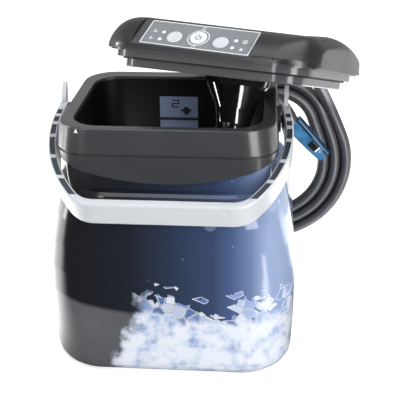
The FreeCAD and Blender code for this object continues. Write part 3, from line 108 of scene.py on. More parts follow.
def add_node(at: Tree | Socket, kind: str, sockets: dict | None = None, **settings: str) -> Node:
    """Add a node with its settings, values and links.

    Args:
        at: node tree that gets the node, or a socket of a node in it.
        kind: Blender's name of the node type, without the ShaderNode before it.
        sockets: input name or number to a value or to the output socket that feeds it.
        **settings: attributes of the node.

    Returns:
        The new node.
    """
    node = at.id_data.nodes.new("ShaderNode" + kind)
    for name, value in settings.items():
        setattr(node, name, value)
    tie(node, sockets or {})
    return node


def maths(operation: str, *values: Value) -> Socket:
    """Return the result of a sum on values or output sockets."""
    return add_node(values[0], "Math", dict(enumerate(values)), operation=operation).outputs[0]


def vectors(operation: str, *values: Value, result: str = "Value") -> Socket:
    """Return the result of a sum on vectors."""
    node = add_node(values[0], "VectorMath", dict(enumerate(values)), operation=operation)
    return node.outputs[result]


def product(first: Socket, *others: Value) -> Socket:
    """Return the product of several values."""
    for other in others:
        first = maths("MULTIPLY", first, other)
    return first


def summed(total: Value, *shares: tuple) -> Socket:
    """Return a total after each share has added its value times its factor."""
    for value, factor in shares:
        total = maths("MULTIPLY_ADD", value, factor, total)
    return total


def mapped(value: Socket, source: tuple, target: tuple = (0, 1), soft: bool = False) -> Socket:
    """Return a value mapped from one range to another, if wanted with soft ends."""
    limits = dict(zip(("From Min", "From Max", "To Min", "To Max"), (*source, *target)))
    kind = "SMOOTHSTEP" if soft else "LINEAR"
    node = add_node(value, "MapRange", {"Value": value, **limits}, interpolation_type=kind)
    return node.outputs["Result"]


def eased(value: Socket, low: float, high: float) -> Socket:
    """Return a value mapped from a range to 0 and 1, with soft ends."""
    return mapped(value, (low, high), soft=True)


def blended(factor: Socket, first: Value, second: Value) -> Socket:
    """Return a colour mixed from two by a factor."""
    sockets = {"Factor": factor, "A": first, "B": second}
    return add_node(factor, "Mix", sockets, data_type="RGBA").outputs["Result"]


def ramped(factor: Socket, *stops: tuple[float, str]) -> Socket:
    """Return the colour of a ramp, given positions from 0 to 1 with sRGB hex colours."""
    node = add_node(factor, "ValToRGB", {"Fac": factor})
    elements = node.color_ramp.elements
    elements.remove(elements[-1])
    elements[0].position = stops[0][0]
    elements[0].color = linear(stops[0][1])
    for position, code in stops[1:]:
        elements.new(position).color = linear(code)
    return node.outputs["Color"]


def noise(place: Socket, size_mm: float, detail: float, rough: float = 0.5) -> Socket:
    """Return a noise with features of a size in millimetres."""
    sockets = {"Vector": place, "Scale": per_metre(size_mm), "Detail": detail, "Roughness": rough}
    return add_node(place, "TexNoise", sockets).outputs["Fac"]


def bumped(height: Socket, strength: float, relief_mm: float) -> Socket:
    """Return a normal that follows a height."""
    sockets = {"Height": height, "Strength": strength, "Distance": relief_mm * MM}
    return add_node(height, "Bump", sockets).outputs["Normal"]


def new_material(name: str) -> tuple[Material, Node, Socket]:
    """Return a node material, its Principled shader and its Object coordinates."""
    material = bpy.data.materials.new(name)
    material.use_nodes = True
    tree = material.node_tree
    tree.nodes.clear()
    shader = add_node(tree, "BsdfPrincipled")
    add_node(tree, "OutputMaterial", {"Surface": shader.outputs["BSDF"]})
    return material, shader, add_node(tree, "TexCoord").outputs["Object"]


@dataclass(frozen=True)
class Finish:
    """A surface, described by the inputs of a Principled shader."""

    name: str

    def looks(self, place: Socket) -> dict:
        """Return the shader's inputs, from nodes that start at the Object coordinates."""
        raise NotImplementedError

    def build(self) -> Material:
        """Return the material."""
        material, shader, place = new_material(self.name)
        tie(shader, self.looks(place))
        return material


@dataclass(frozen=True)
class Moulded(Finish):
    """A moulded plastic or rubber with a fine grain and a slow change of tone."""

    colour: str
    roughness: float
    grain_mm: float
    relief_mm: float
    tone: float
    tone_mm: float = 45.0
    coat: float = 0.0
    coat_roughness: float = 0.08
    specular: float = 0.5
    sheen: float = 0.0
    glow: float = 0.0

    def looks(self, place: Socket) -> dict:
        """Return the shader's inputs."""
        base = linear(self.colour)
        light = (*(min(1.0, c * (1 + self.tone * 2)) for c in base[:3]), 1.0)
        dark = (*(c * (1 - self.tone * 2) for c in base[:3]), 1.0)
        cloud = noise(place, self.tone_mm, 3.0)
        spread = (self.roughness * 0.88, min(1.0, self.roughness * 1.12))
        grain = noise(place, self.grain_mm, 2.0, 0.55)
        looks = {
            "Base Color": blended(cloud, dark, light),
            "Roughness": mapped(cloud, (0.3, 0.7), spread),
            "Normal": bumped(grain, 0.6, self.relief_mm),
            "Specular IOR Level": self.specular,
            "Coat Weight": self.coat,
            "Coat Roughness": self.coat_roughness,
            "Sheen Weight": self.sheen,
        }
        if self.glow:
            looks |= {"Emission Color": base, "Emission Strength": self.glow}
        return looks


@dataclass(frozen=True)
class RolledSteel(Finish):
    """Tinned steel of a motor can, with fine drawing lines round it."""

    name: str = "drawn tinned steel"
    colour: str = "#b9bbbd"
    roughness: float = 0.3

    def looks(self, place: Socket) -> dict:
        """Return the shader's inputs."""
        stretch = add_node(place, "Mapping", {"Vector": place, "Scale": (0.15, 0.15, 1.0)})
        lines = noise(stretch.outputs["Vector"], 0.6, 2.0)
        return {
            "Base Color": linear(self.colour),
            "Metallic": 1.0,
            "Roughness": self.roughness,
            "Normal": bumped(lines, 0.4, 0.01),
        }


@dataclass(frozen=True)
class ExtrudedHose(Finish):
    """Extruded polyurethane: satin, with a painted highlight along the crest and painted shade in
    the flanks.
    """

    name: str = "extruded polyurethane, grey"
    roughness: float = 0.36
    # painted shade: these run from dark flanks to a light front
    shade_greys: tuple = ((0.0, "#101113"), (0.45, "#2c2d2f"), (1.0, "#525356"))
    painted_highlight: str = "#a4a7aa"

    def looks(self, place: Socket) -> dict:
        """Return the shader's inputs."""
        facing, crest = (
            add_node(place, "Attribute", attribute_name=name).outputs["Fac"]
            for name in ("facing", "crest")
        )
        patch = noise(place, 9, 3.0)
        shade = maths("ADD", facing, summed(-0.15, (patch, 0.3)))
        # painted highlight: a pale, patchy line along the crest
        amount = product(crest, summed(0.4, (patch, 0.6)))
        ground = ramped(shade, *self.shade_greys)
        return {
            "Base Color": blended(amount, ground, linear(self.painted_highlight)),
            "Roughness": self.roughness,
            "Normal": bumped(noise(place, 1.6, 2.0), 0.5, 0.02),
        }


@dataclass(frozen=True)
class ShellWithPaintedShade(Finish):
    """Moulded plastic: a bright shell, with painted shade in a deep strip along one edge."""

    colour: str
    pale: str
    painted_shade: str
    edge_mm: float = 4.6
    taper: float = -0.035
    roughness: float = 0.25

    def looks(self, place: Socket) -> dict:
        """Return the shader's inputs."""
        start = tuple(value * MM for value in HEEL)
        away = vectors("SUBTRACT", place, start, result="Vector")
        across = vectors("DOT_PRODUCT", away, (-AIM[2], 0.0, AIM[0]))
        along = vectors("DOT_PRODUCT", away, AIM)
        edge = summed(self.edge_mm * MM, (along, self.taper))
        past = maths("SUBTRACT", across, edge)
        amount = eased(past, -0.35 * MM, 0.35 * MM)
        cloud = noise(place, 12, 2.0)
        shell = ramped(cloud, (0.3, self.colour), (0.75, self.pale))
        return {
            # painted shade: a deep strip darkens the side face along one edge
            "Base Color": blended(amount, shell, linear(self.painted_shade)),
            "Roughness": self.roughness,
            "Coat Weight": 0.3,
            "Coat Roughness": 0.08,
        }


@dataclass(frozen=True)
class PrintedWrap(Finish):
    """Gloss-coated wrap with a dark to ice-blue sweep, a pale foot and floating rounds.

    Each pair of edges, in metres, says where a part of the print begins and is full.
    """

    name: str = "printed film under clear gloss"
    roughness: float = 0.16
    half_width: float = 0.125
    slate_edges: tuple = (0.0785, 0.0715)
    foot_edges: tuple = (0.119, 0.109)
    side_edges: tuple = (-0.043, -0.022)
    chip_edges: tuple = (0.152, 0.116)
    dark: tuple = ((0.05, "#1a1a1f"), (0.28, "#1b2029"), (0.52, "#283249"), (0.76, "#354463"))
    light: tuple = ((0.85, "#465981"), (0.925, "#677aa0"), (0.97, "#91a2c3"))
    slate: tuple = ((0.3, "#505154"), (0.7, "#626366"))
    foot: tuple = ((0.3, "#93a6cd"), (0.42, "#c6d0e3"), (0.55, "#dfe4ed"))
    facets: tuple = ((0.1, "#5d78b0"), (0.5, "#9db1dc"), (0.9, "#e4ebf7"))

    def looks(self, place: Socket) -> dict:
        """Return the shader's inputs."""
        axes = add_node(place, "SeparateXYZ", {"Vector": place})
        right, height = axes.outputs["X"], axes.outputs["Z"]
        warp, fine = noise(place, 90, 3.0), noise(place, 14, 6.0)
        across = eased(right, -self.half_width, self.half_width)
        sweep = ramped(across, *self.dark, *self.light)
        colour = self.bubbled(place, across, sweep)
        tilted = summed(height, (right, 0.2), (warp, 0.012))
        slate = ramped(warp, *self.slate)
        colour = blended(eased(tilted, *self.slate_edges), colour, slate)
        ragged = summed(height, (fine, 0.026), (warp, 0.05))
        side = summed(right, (fine, 0.05), (height, -0.33))
        side = eased(side, *self.side_edges)
        colour = self.chipped(place, ragged, side, colour)
        pale = product(eased(ragged, *self.foot_edges), side)
        return {
            "Base Color": blended(pale, colour, ramped(fine, *self.foot)),
            "Roughness": self.roughness,
            "Coat Weight": 0.4,
            "Coat Roughness": 0.06,
            "Normal": bumped(noise(place, 9, 1.0), 0.3, 0.02),
        }

    def chipped(self, place: Socket, ragged: Socket, side: Socket, ground: Socket) -> Socket:
        """Return the colour with faceted ice chips scattered over the pale foot's top edge.

        Args:
            place: Object coordinates.
            ragged: height with the pale foot's ragged edge in it.
            side: 1 where the pale foot is and 0 left of it.
            ground: colour under the chips.

        Returns:
            The mixed colour's socket.
        """
        flat = add_node(place, "Mapping", {"Vector": place, "Scale": (1.0, 0.9, 1.0)})
        cell = {"Vector": flat.outputs["Vector"], "Scale": per_metre(11.0), "Randomness": 0.95}
        cells = add_node(place, "TexVoronoi", cell)
        rims = add_node(place, "TexVoronoi", cell, feature="DISTANCE_TO_EDGE").outputs["Distance"]
        chance = add_node(place, "SeparateColor", {"Color": cells.outputs["Color"]})
        near = eased(ragged, *self.chip_edges)
        kept = maths("LESS_THAN", chance.outputs["Red"], near)
        tint = ramped(chance.outputs["Green"], *self.facets)
        facet = blended(eased(rims, 0.09, 0.04), tint, linear("#f4f7fc"))
        gap = eased(rims, 0.015, 0.03)
        return blended(product(kept, gap, side, 0.8), ground, facet)

    def bubbled(self, place: Socket, across: Socket, ground: Socket) -> Socket:
        """Return the colour with pale soft rounds that thicken towards the right.

        Args:
            place: Object coordinates.
            across: position over the width, from 0 to 1.
            ground: colour under the rounds.

        Returns:
            The mixed colour's socket.
        """
        flat = add_node(place, "Mapping", {"Vector": place, "Scale": (1.0, 0.8, 1.0)})
        cell = {"Vector": flat.outputs["Vector"], "Randomness": 0.7}
        wanted = eased(across, 0.45, 0.95)
        for size_mm, radius, strength in ((34.0, 0.2, 0.3), (15.0, 0.14, 0.45)):
            cells = add_node(place, "TexVoronoi", {**cell, "Scale": per_metre(size_mm)})
            disc = eased(cells.outputs["Distance"], radius, radius * 0.8)
            chance = add_node(place, "SeparateColor", {"Color": cells.outputs["Color"]})
            kept = maths("LESS_THAN", chance.outputs["Red"], 0.45)
            amount = product(disc, wanted, kept, strength)
            ground = blended(amount, ground, linear("#c3d0ee"))
        return ground


@dataclass
class Workshop:
    """Builds each finish once and hands it out."""

    built: dict = field(default_factory=dict)

    def get(self, finish: Finish) -> Material:
        """Return the material of a finish, built on first use."""
        if finish not in self.built:
            self.built[finish] = finish.build()
        return self.built[finish]

    def dress(self, **finishes: Finish) -> None:
        """Put finishes on nodes of the frame, given by the nodes' names."""
        for node, finish in finishes.items():
            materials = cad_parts[node].data.materials
            materials.clear()
            materials.append(self.get(finish))


SHOP = Workshop()

# satin ABS from a spark-eroded mould: a soft, wide highlight
COLLAR_ABS = Moulded(
    "satin ABS, charcoal", "#393a3d", 0.34, 1.0, 0.006, 0.03, coat=0.7, coat_roughness=0.2
)
COVER_ABS = Moulded("satin ABS, graphite", "#191a1c", 0.3, 1.0, 0.004, 0.03, specular=0.8)
PIN_ABS = Moulded("satin ABS, pin grey", "#3a3b3e", 0.4, 1.0, 0.012, 0.04)
BEZEL_ABS = Moulded("satin ABS, mid grey", "#4c4f53", 0.4, 1.0, 0.012, 0.03)
# polished ABS and acetal: near mirrors, so they show the soft boxes
PLUG_ABS = Moulded("polished ABS, grey", "#505255", 0.18, 6.0, 0.01, 0.03, coat=0.3)
COLUMN_ABS = Moulded("polished ABS, black", "#0e0f11", 0.1, 8.0, 0.01, 0.04, coat=0.5)
BAIL_ABS = Moulded("polished ABS, pale grey", "#cdd1d5", 0.3, 5.0, 0.004, 0.015, coat=0.15)
TRIM_ABS = Moulded("polished ABS, light blue", "#4d8fbf", 0.25, 4.0, 0.01, 0.04)
LATCH_POM = Moulded("polished acetal, black", "#1a1b1e", 0.2, 4.0, 0.008, 0.04, coat=0.3)
# the connector's blue shell, with painted shade along one side face
CONNECTOR_ABS = ShellWithPaintedShade("ABS, blue, with a painted shade strip", "#2a6d9e", "#5a97c2", "#0a3c60")
# vacuum-formed sheet: dull black, darkened further as painted shade so that the tub looks deep
TUB_ABS = Moulded("vacuum-formed ABS, black", "#070708", 0.45, 5.0, 0.02, 0.05, specular=0.22)
# soft thermoplastic elastomer and the handle's pads: matt, slightly dusty; the pads are dark to
# paint the shade in the handle's pockets
POCKET_SHADE_PADS = Moulded("matt slate, painted pocket shade", "#353b46", 0.7, 0.8, 0.03, 0.08, sheen=0.1)
GLAND_TPE = Moulded("matt elastomer, black", "#1d1e20", 0.6, 0.8, 0.03, 0.08)
PAD_TPE = Moulded("matt elastomer, foot black", "#17181a", 0.75, 0.8, 0.03, 0.08)
# extruded hose: satin grey, with a painted highlight along its crest and painted shade in its
# flanks
HOSE_TPU = ExtrudedHose()
# printed film, vinyl and screen inks: flat tones with a weak sheen
WRAP = PrintedWrap()
FILM_PET = Moulded("printed polyester film, grey", "#84898e", 0.32, 1.4, 0.006, 0.03)
LABEL_PVC = Moulded("vinyl label, slate blue", "#7584a3", 0.4, 1.5, 0.01, 0.05)
PRINT_WHITE = Moulded("screen ink, white", "#f2f4f6", 0.45, 0.8, 0.004, 0.01)
PRINT_BLACK = Moulded("screen ink, black", "#0b0c0d", 0.45, 0.8, 0.004, 0.05)
PRINT_GREY = Moulded("screen ink, grey", "#62666b", 0.45, 0.8, 0.004, 0.03)
PRINT_BLUE = Moulded("screen ink, pale blue", "#8c9ab8", 0.45, 0.8, 0.004, 0.03)
# moulded silicone and milky polycarbonate: pale and soft, the lenses faintly lit
KEY_PALE = Moulded("silicone rubber, pale grey", "#d3d8dd", 0.42, 1.2, 0.01, 0.02)
KEY_WHITE = Moulded("silicone rubber, white", "#eceff2", 0.42, 1.2, 0.01, 0.02)
LENS_PC = Moulded("milky polycarbonate", "#f4f6f8", 0.25, 3.0, 0.004, 0.01, glow=0.25)
# inner parts: foam, laminate, polyamide, silicone and steel in their plain tones
FOAM_PU = Moulded("moulded polyurethane foam", "#e9e5d6", 0.95, 1.5, 0.2, 0.05)
BOARD_FR4 = Moulded("solder-masked laminate", "#1d5a34", 0.45, 1.5, 0.02, 0.06)
PUMP_PA = Moulded("moulded polyamide, black", "#1b1c1e", 0.5, 1.0, 0.02, 0.05)
VALVE_PA = Moulded("moulded polyamide, ivory", "#d8d6cc", 0.5, 1.0, 0.02, 0.04)
TUBE_SI = Moulded("silicone tube, clear grey", "#c9ccd0", 0.3, 2.0, 0.01, 0.03)
ROTOR_PP = Moulded("moulded polypropylene", "#dcdcd8", 0.5, 1.5, 0.02, 0.03)
MOTOR_STEEL = RolledSteel()


def new_object(name: str, data: bpy.types.ID) -> bpy.types.Object:
    """Return a new object of the scene that shows some data."""
    thing = bpy.data.objects.new(name, data)
    bpy.context.scene.collection.objects.link(thing)
    return thing


def new_mesh(
    name: str, bm: bmesh.types.BMesh, finish: Finish, body: Body, smooth: float = 35.0
) -> bpy.types.Object:
    """Turn a bmesh into a finished piece that rides on a body.

    Args:
        name: name of the piece.
        bm: its mesh, in metres in the row frame; freed here.
        finish: its finish.
        body: body that carries the piece.
        smooth: angle in degrees over which an edge stays sharp.

    Returns:
        The new object.
    """
    bmesh.ops.recalc_face_normals(bm, faces=bm.faces)
    for face in bm.faces:
        face.smooth = True
    for edge in bm.edges:
        if len(edge.link_faces) == 2 and edge.calc_face_angle(0.0) > radians(smooth):
            edge.smooth = False
    mesh = bpy.data.meshes.new(name)
    bm.to_mesh(mesh)
    bm.free()
    thing = new_object(name, mesh)
    mesh.materials.append(SHOP.get(finish))
    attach(thing, body.value)
    LOG.info("piece %s rides on %s", name, body.value)
    return thing


def turned(axis: str, degrees: float) -> Matrix:
    """Return a turn about a main axis."""
    return Matrix.Rotation(radians(degrees), 4, axis)


def shifted(x: float, y: float, z: float) -> Matrix:
    """Return a shift given in millimetres."""
    return Matrix.Translation(Vector((x, y, z)) * MM)


def facing_frame(place: tuple, normal: tuple) -> Matrix:
    """Return a frame at a place in millimetres: z along a normal, y as upright as can be."""
    return shifted(*place) @ Vector(normal).to_track_quat("Z", "Y").to_matrix().to_4x4()


@dataclass(frozen=True)
class LidFrame:
    """Where the lid lies: its own frame and the panel's frame on it."""

    right: float = 62.8
    front: float = 8.5
    height: float = 301.898
    turn: float = 21.8
    tip: float = 18.2
    lean: float = 1.1
    cover_depth: float = 186.5
    bezel_left: float = 8.3
    panel_foot: float = 11.4
    panel_slope: float = 43.5
    panel_lean: float = 1.3
    bezel_length: float = 35.2
    overlay_shift: float = 3.0

    def lid(self) -> Matrix:
        """Return the lid's frame."""
        turn = turned("Z", -self.turn) @ turned("X", -self.tip) @ turned("Y", -self.lean)
        return shifted(self.right, -self.front, self.height) @ turn

    def panel(self) -> Matrix:
        """Return the panel's frame: the overlay's middle, with z out of its face."""
        foot = shifted(-self.bezel_left, -self.cover_depth / 2, self.panel_foot)
        middle = shifted(self.overlay_shift, self.bezel_length / 2, 0)
        place = self.lid() @ foot @ turned("Y", self.panel_lean)
        return place @ turned("X", self.panel_slope) @ middle


LID = LidFrame()


def rectangle(low: tuple, high: tuple) -> list:
    """Return the corners of a rectangle from two opposite ones."""
    return [low, (high[0], low[1]), high, (low[0], high[1])]


@dataclass
class Print:
    """Thin printed or moulded marks that lie on a face, drawn in millimetres on a frame."""

    name: str
    finish: Finish
    body: Body
    slot: str
    place: Matrix
    height: float = 0.06
    steps: int = 40
    bm: bmesh.types.BMesh = field(default_factory=bmesh.new)

    def polygon(self, corners: list, middle: tuple = (0, 0)) -> None:
        """Add a filled polygon about a middle, raised to the marks' height."""
        place = self.place @ shifted(*middle, 0)
        points = [self.bm.verts.new(place @ (Vector((x, y, 0)) * MM)) for x, y in corners]
        face = self.bm.faces.new(points)
        raised = bmesh.ops.extrude_face_region(self.bm, geom=[face])["geom"]
        lift = (place.to_3x3() @ Vector((0, 0, 1))) * self.height * MM
        moved = [part for part in raised if isinstance(part, bmesh.types.BMVert)]
        bmesh.ops.translate(self.bm, vec=lift, verts=moved)

    def line(self, start: tuple, end: tuple, width: float) -> None:
        """Add a straight line."""
        a, b = Vector(start), Vector(end)
        side = (b - a).normalized().orthogonal() * width / 2
        self.polygon([a + side, a - side, b - side, b + side])

    def outline(self, low: tuple, high: tuple, width: float) -> None:
        """Add the four sides of a rectangle."""
        corners = rectangle(low, high)
        for first, second in zip(corners, corners[1:] + corners[:1]):
            self.line(first, second, width)

    def ring(
        self, middle: tuple, radius: float, width: float, start: float = 0, end: float = 360
    ) -> None:
        """Add a ring, in two halves, or an arc from one angle to another, in degrees."""
        if abs(end - start) >= 360:
            half = (start + end) / 2
            self.ring(middle, radius, width, start, half)
            self.ring(middle, radius, width, half, end)
            return
        corners = []
        for reach, first, last in (
            (radius + width / 2, start, end),
            (radius - width / 2, end, start),
        ):
            for step in range(self.steps + 1):
                angle = radians(first + (last - first) * step / self.steps)
                corners.append((reach * cos(angle), reach * sin(angle)))
        self.polygon(corners, middle)

    def piece(self) -> bpy.types.Object:
        """Turn the marks into a piece."""
        return new_mesh(self.name, self.bm, self.finish, self.body)


@dataclass
class Cooler:
    """The insulated cooler: shell, tub, collar, label, pins and pads."""

    label_at: tuple = (-6, 70.9, 237.5)
    label_lean: float = 1.53

    def label_marks(self) -> None:
        """Print a number, an arrow, a level line and waves on the fill guide."""
        place = shifted(*self.label_at) @ turned("X", 90 - self.label_lean)
        ink = Print("label_ink", PRINT_BLACK, Body.COOLER, "label", place)
        left, right, low, high, pen = -4.6, 2.6, -3.3, 4.3, 1.5
        mid, lap = (low + high) / 2, 0.7
        for start, end in (
            ((left, high), (right, high)),
            ((right, high + lap), (right, mid)),
            ((left, mid), (right, mid)),
            ((left, mid + lap), (left, low)),
            ((left, low), (right, low)),
        ):
            ink.line(start, end, pen)
        ink.polygon([(4.0, -6.0), (18.0, -6.0), (11.0, -13.0)])
        ink.polygon(rectangle((8.2, -3.4), (13.8, -6.2)))
        ink.polygon(rectangle((-18.2, -15.2), (23.8, -18.6)))
        ink.piece()
        waves = Print("label_waves", PRINT_BLUE, Body.COOLER, "label", place)
        for low in (-31.0, -38.0):
            for left in (-10.0, 2.5, 15.0):
                waves.ring((left, low), 7.5, 1.1, 125, 55)
        waves.piece()

    def rim_mark(self) -> None:
        """Print a small pointer near the rim's left corner."""
        place = facing_frame((-82.5, -89.3, 264.7), (-0.327, -0.932, 0.158)) @ shifted(0, 0, 0.02)
        mark = Print("rim_pointer", PRINT_WHITE, Body.COOLER, "collar", place)
        mark.polygon([(-2.2, -1.8), (2.2, -1.8), (0, 2.2)])
        mark.piece()

    def build(self) -> None:
        """Build the whole sub-assembly."""
        SHOP.dress(outer_shell=WRAP, insulation_foam=FOAM_PU, inner_tub=TUB_ABS)
        SHOP.dress(rim_collar=COLLAR_ABS, fill_label=LABEL_PVC)
        SHOP.dress(pivot_pin_left=PIN_ABS, pivot_pin_right=PIN_ABS, base_pads=PAD_TPE)
        self.label_marks()
        self.rim_mark()


class Handle:
    """The bail and its inlays: dark pads that paint the shade in the bail's pockets."""

    def build(self) -> None:
        """Build the whole sub-assembly."""
        SHOP.dress(handle_bail=BAIL_ABS)
        SHOP.dress(handle_inlays_left=POCKET_SHADE_PADS, handle_inlays_right=POCKET_SHADE_PADS)


@dataclass
class Panel:
    """The control panel: film, printed lines, signs, keys and lenses."""

    film_width: float = 108.8
    film_length: float = 32.6
    margin: float = 0.8
    face: float = 0.52
    key_radius: float = 8.0
    side_radius: float = 7.3
    key_rise: float = 1.0
    key_depth: float = 2.6
    key_sink: float = 0.5
    key_round: float = 0.7
    key_dish: tuple = ((1.4, 0.0), (1.2, -0.25), (2.0, -0.12))
    pitch: float = 23.1
    side_lift: float = -3.9
    power_lift: float = -1.2

    def on_film(self, x: float = 0.0, y: float = 0.0, rise: float = 0.0) -> Matrix:
        """Return a frame on the film's face."""
        return LID.panel() @ shifted(x, y, self.face + rise)

    def lines(self) -> None:
        """Print the white frame, the ring round the power key and the double line."""
        marks = Print("panel_lines", PRINT_WHITE, Body.LID, "overlay", self.on_film())
        half_x, half_y = self.film_width / 2 - self.margin, self.film_length / 2 - self.margin
        marks.outline((-half_x, -half_y), (half_x, half_y), 0.9)
        marks.ring((0, self.power_lift), 10.0, 0.8)
        for side in (-1.1, 1.1):
            marks.line((side, 9.4), (side, half_y), 0.5)
            marks.line((side, -half_y), (side, -11.6), 0.5)
        self.signs(marks)
        marks.piece()

    def signs(self, marks: Print) -> None:
        """Add small plain signs beside the lenses: bars, a ring with a stroke and a triangle."""
        x = -45.0
        for y in (2.0, -8.0):
            for step in range(3):
                level = y - 1.4 + step * 1.4
                marks.line((x - 2.0, level), (x + 2.0 - step, level), 0.6)
        marks.ring((45.0, 1.0), 2.0, 0.7)
        marks.line((45.0, -1.0), (45.0, 2.2), 0.6)
        marks.polygon([(43.0, -10.6), (47.0, -10.6), (45.0, -7.2)])

    def key(self, node: str, body: Body, spot: tuple, radius: float, finish: Finish) -> None:
        """Build a dished key cap with a rounded rim in place of a plain node.

        Args:
            node: the plain node that it stands for.
            body: body that carries it.
            spot: its middle on the film, in millimetres.
            radius: half its width.
            finish: its finish.
        """
        bm = bmesh.new()
        x, y = spot
        depth = self.key_depth + self.key_rise + self.key_sink
        place = LID.panel() @ shifted(x, y, -self.key_depth + depth / 2)
        size = {"radius1": radius * MM, "radius2": radius * MM, "depth": depth * MM}
        bmesh.ops.create_cone(bm, cap_ends=True, segments=64, **size)
        top = max(bm.faces, key=lambda face: face.calc_center_median().z)
        bevel = {"offset": self.key_round * MM, "segments": 4, "profile": 0.5, "affect": "EDGES"}
        bmesh.ops.bevel(bm, geom=list(top.edges), material=-1, **bevel)
        top = max(bm.faces, key=lambda face: face.calc_center_median().z)
        for width, drop in self.key_dish:
            bmesh.ops.inset_region(bm, faces=[top], thickness=width * MM)
            top = max(
                (face for face in bm.faces if len(face.verts) > 8 and face.normal.z > 0.9),
                key=lambda face: -face.calc_center_median().length_squared,
            )
            bmesh.ops.translate(bm, vec=(0, 0, drop * MM), verts=list(top.verts))
        bmesh.ops.transform(bm, matrix=place, verts=bm.verts)
        cap = new_mesh(node + "_cap", bm, finish, body)
        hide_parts(node)

    def collars(self) -> None:
        """Lay the film's raised rims round the two side keys."""
        place = self.on_film(0, 0, -0.3)
        rims = Print("key_rims", FILM_PET, Body.LID, "overlay", place, height=0.45)
        for side in (-1, 1):
            rims.ring((side * self.pitch, self.side_lift), 8.05, 1.3)
        rims.piece()

    def power_sign(self) -> None:
        """Print the on and off sign on the middle key."""
        place = self.on_film(0, self.power_lift, self.key_rise - 0.2)
        marks = Print("power_sign", PRINT_GREY, Body.POWER, "power_key", place)
        marks.ring((0, 0), 2.6, 0.7, 125, 415)
        marks.line((0, 0.8), (0, 3.9), 0.7)
        marks.piece()

    def build(self) -> None:
        """Build the whole sub-assembly."""
        SHOP.dress(panel_bezel=BEZEL_ABS, panel_overlay=FILM_PET, indicator_lenses=LENS_PC)
        SHOP.dress(control_board=BOARD_FR4, dome_switches=MOTOR_STEEL)
        self.lines()
        left, right = (-self.pitch, self.side_lift), (self.pitch, self.side_lift)
        self.key("cold_button", Body.COLD, left, self.side_radius, KEY_PALE)
        self.key("power_button", Body.POWER, (0, self.power_lift), self.key_radius, KEY_WHITE)
        self.key("compression_button", Body.COMPRESSION, right, self.side_radius, KEY_PALE)
        self.collars()
        self.power_sign()


@dataclass
class Cover:
    """The lid's moulded cover, with a crowned and rounded right end."""

    half_width: float = 105.75
    ridge: float = 31.3
    fall: float = 5.2
    lean: float = 1.5
    rounding: float = 12.0
    crown: float = 9.0
    crown_from: float = 52.0
    crown_run: float = 40.0
    crown_foot: float = 11.0
    crown_rise: float = 13.0
    crown_middle: float = 18.0
    crown_half: float = 72.0

    def top(self, x: float, y: float) -> float:
        """Return the height of the plain top over a place of the lid."""
        lean, fall = tan(radians(self.lean)), tan(radians(self.fall))
        return self.ridge - x * lean - y * fall

    def moved(self, point: Vector) -> Vector:
        """Return where a point of the plain cover goes, in the lid's millimetres."""
        x, y, z = point
        low = self.top(x, y) - self.rounding
        across = clamped(1 - (self.half_width - x) / self.rounding)
        up = clamped((z - low) / self.rounding)
        if across and up:
            x += self.rounding * across * (sqrt(1 - up * up / 2) - 1)
            z += self.rounding * up * (sqrt(1 - across * across / 2) - 1)
        along = max(0.0, 1 - ((y - self.crown_middle) / self.crown_half) ** 2)
        start = ease((point.x - self.crown_from) / self.crown_run)
        z += self.crown * start * along * ease((point.z - self.crown_foot) / self.crown_rise)
        return Vector((x, y, z))

    def slice(self, bm: bmesh.types.BMesh) -> None:
        """Cut the right part into small faces along evenly set planes."""
        steps = {
            0: [self.crown_from + 5.5 * number for number in range(10)],
            1: [-84.0 + 8.0 * number for number in range(22)],
            2: [12.5 + 3.0 * number for number in range(7)],
        }
        margin, near = 1.0, 0.02
        for axis, stops in steps.items():
            normal = Vector((axis == 0, axis == 1, axis == 2))
            low = self.crown_from - margin if axis else -inf
            for stop in stops:
                faces = [face for face in bm.faces if face.calc_center_median().x > low]
                edges = list({edge for face in faces for edge in face.edges})
                corners = list({vertex for face in faces for vertex in face.verts})
                plane = {"plane_co": normal * stop, "plane_no": normal}
                bmesh.ops.bisect_plane(bm, geom=corners + edges + faces, dist=near, **plane)

    def build(self) -> None:
        """Build the cover in place of the plain node."""
        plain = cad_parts["lid_cover"]
        bm = bmesh.new()
        bm.from_mesh(plain.data)
        bmesh.ops.remove_doubles(bm, verts=bm.verts, dist=0.001 * MM)
        away = LID.lid().inverted() @ plain.matrix_world
        bmesh.ops.transform(bm, matrix=Matrix.Scale(1 / MM, 4) @ away, verts=bm.verts)
        self.slice(bm)
        for vertex in bm.verts:
            vertex.co = self.moved(vertex.co)
        bmesh.ops.transform(bm, matrix=LID.lid() @ Matrix.Scale(MM, 4), verts=bm.verts)
        cover = new_mesh("cover", bm, COVER_ABS, Body.LID, smooth=32)
        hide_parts("lid_cover")
        self.pointer()

    def pointer(self) -> None:
        """Print a small pointer on the left front corner."""
        place = facing_frame((-45.1, -56.2, 338.5), (-0.616, -0.731, 0.292)) @ shifted(0, 0, 0.12)
        mark = Print("cover_pointer", PRINT_WHITE, Body.LID, "cover", place)
        mark.polygon([(-2.0, 1.5), (0, -2.1), (2.0, 1.5)])
        mark.piece()


class Lid:
    """The lid: cover, base, plug and what they hold."""

    def build(self) -> None:
        """Build the whole sub-assembly."""
        Cover().build()
        SHOP.dress(lid_base=PLUG_ABS, lid_plug=PLUG_ABS, lid_gasket=GLAND_TPE)
        SHOP.dress(air_pump=PUMP_PA, valve_block=VALVE_PA, air_tube=TUBE_SI)
        SHOP.dress(power_inlet=LATCH_POM)
        Panel().build()


class Column:
    """The pump column that hangs under the lid."""

    def build(self) -> None:
        """Build the whole sub-assembly."""
        SHOP.dress(pump_column=COLUMN_ABS, pump_housing=COLUMN_ABS, pump_motor=MOTOR_STEEL)
        SHOP.dress(pump_impeller=ROTOR_PP, pump_strainer=PUMP_PA)


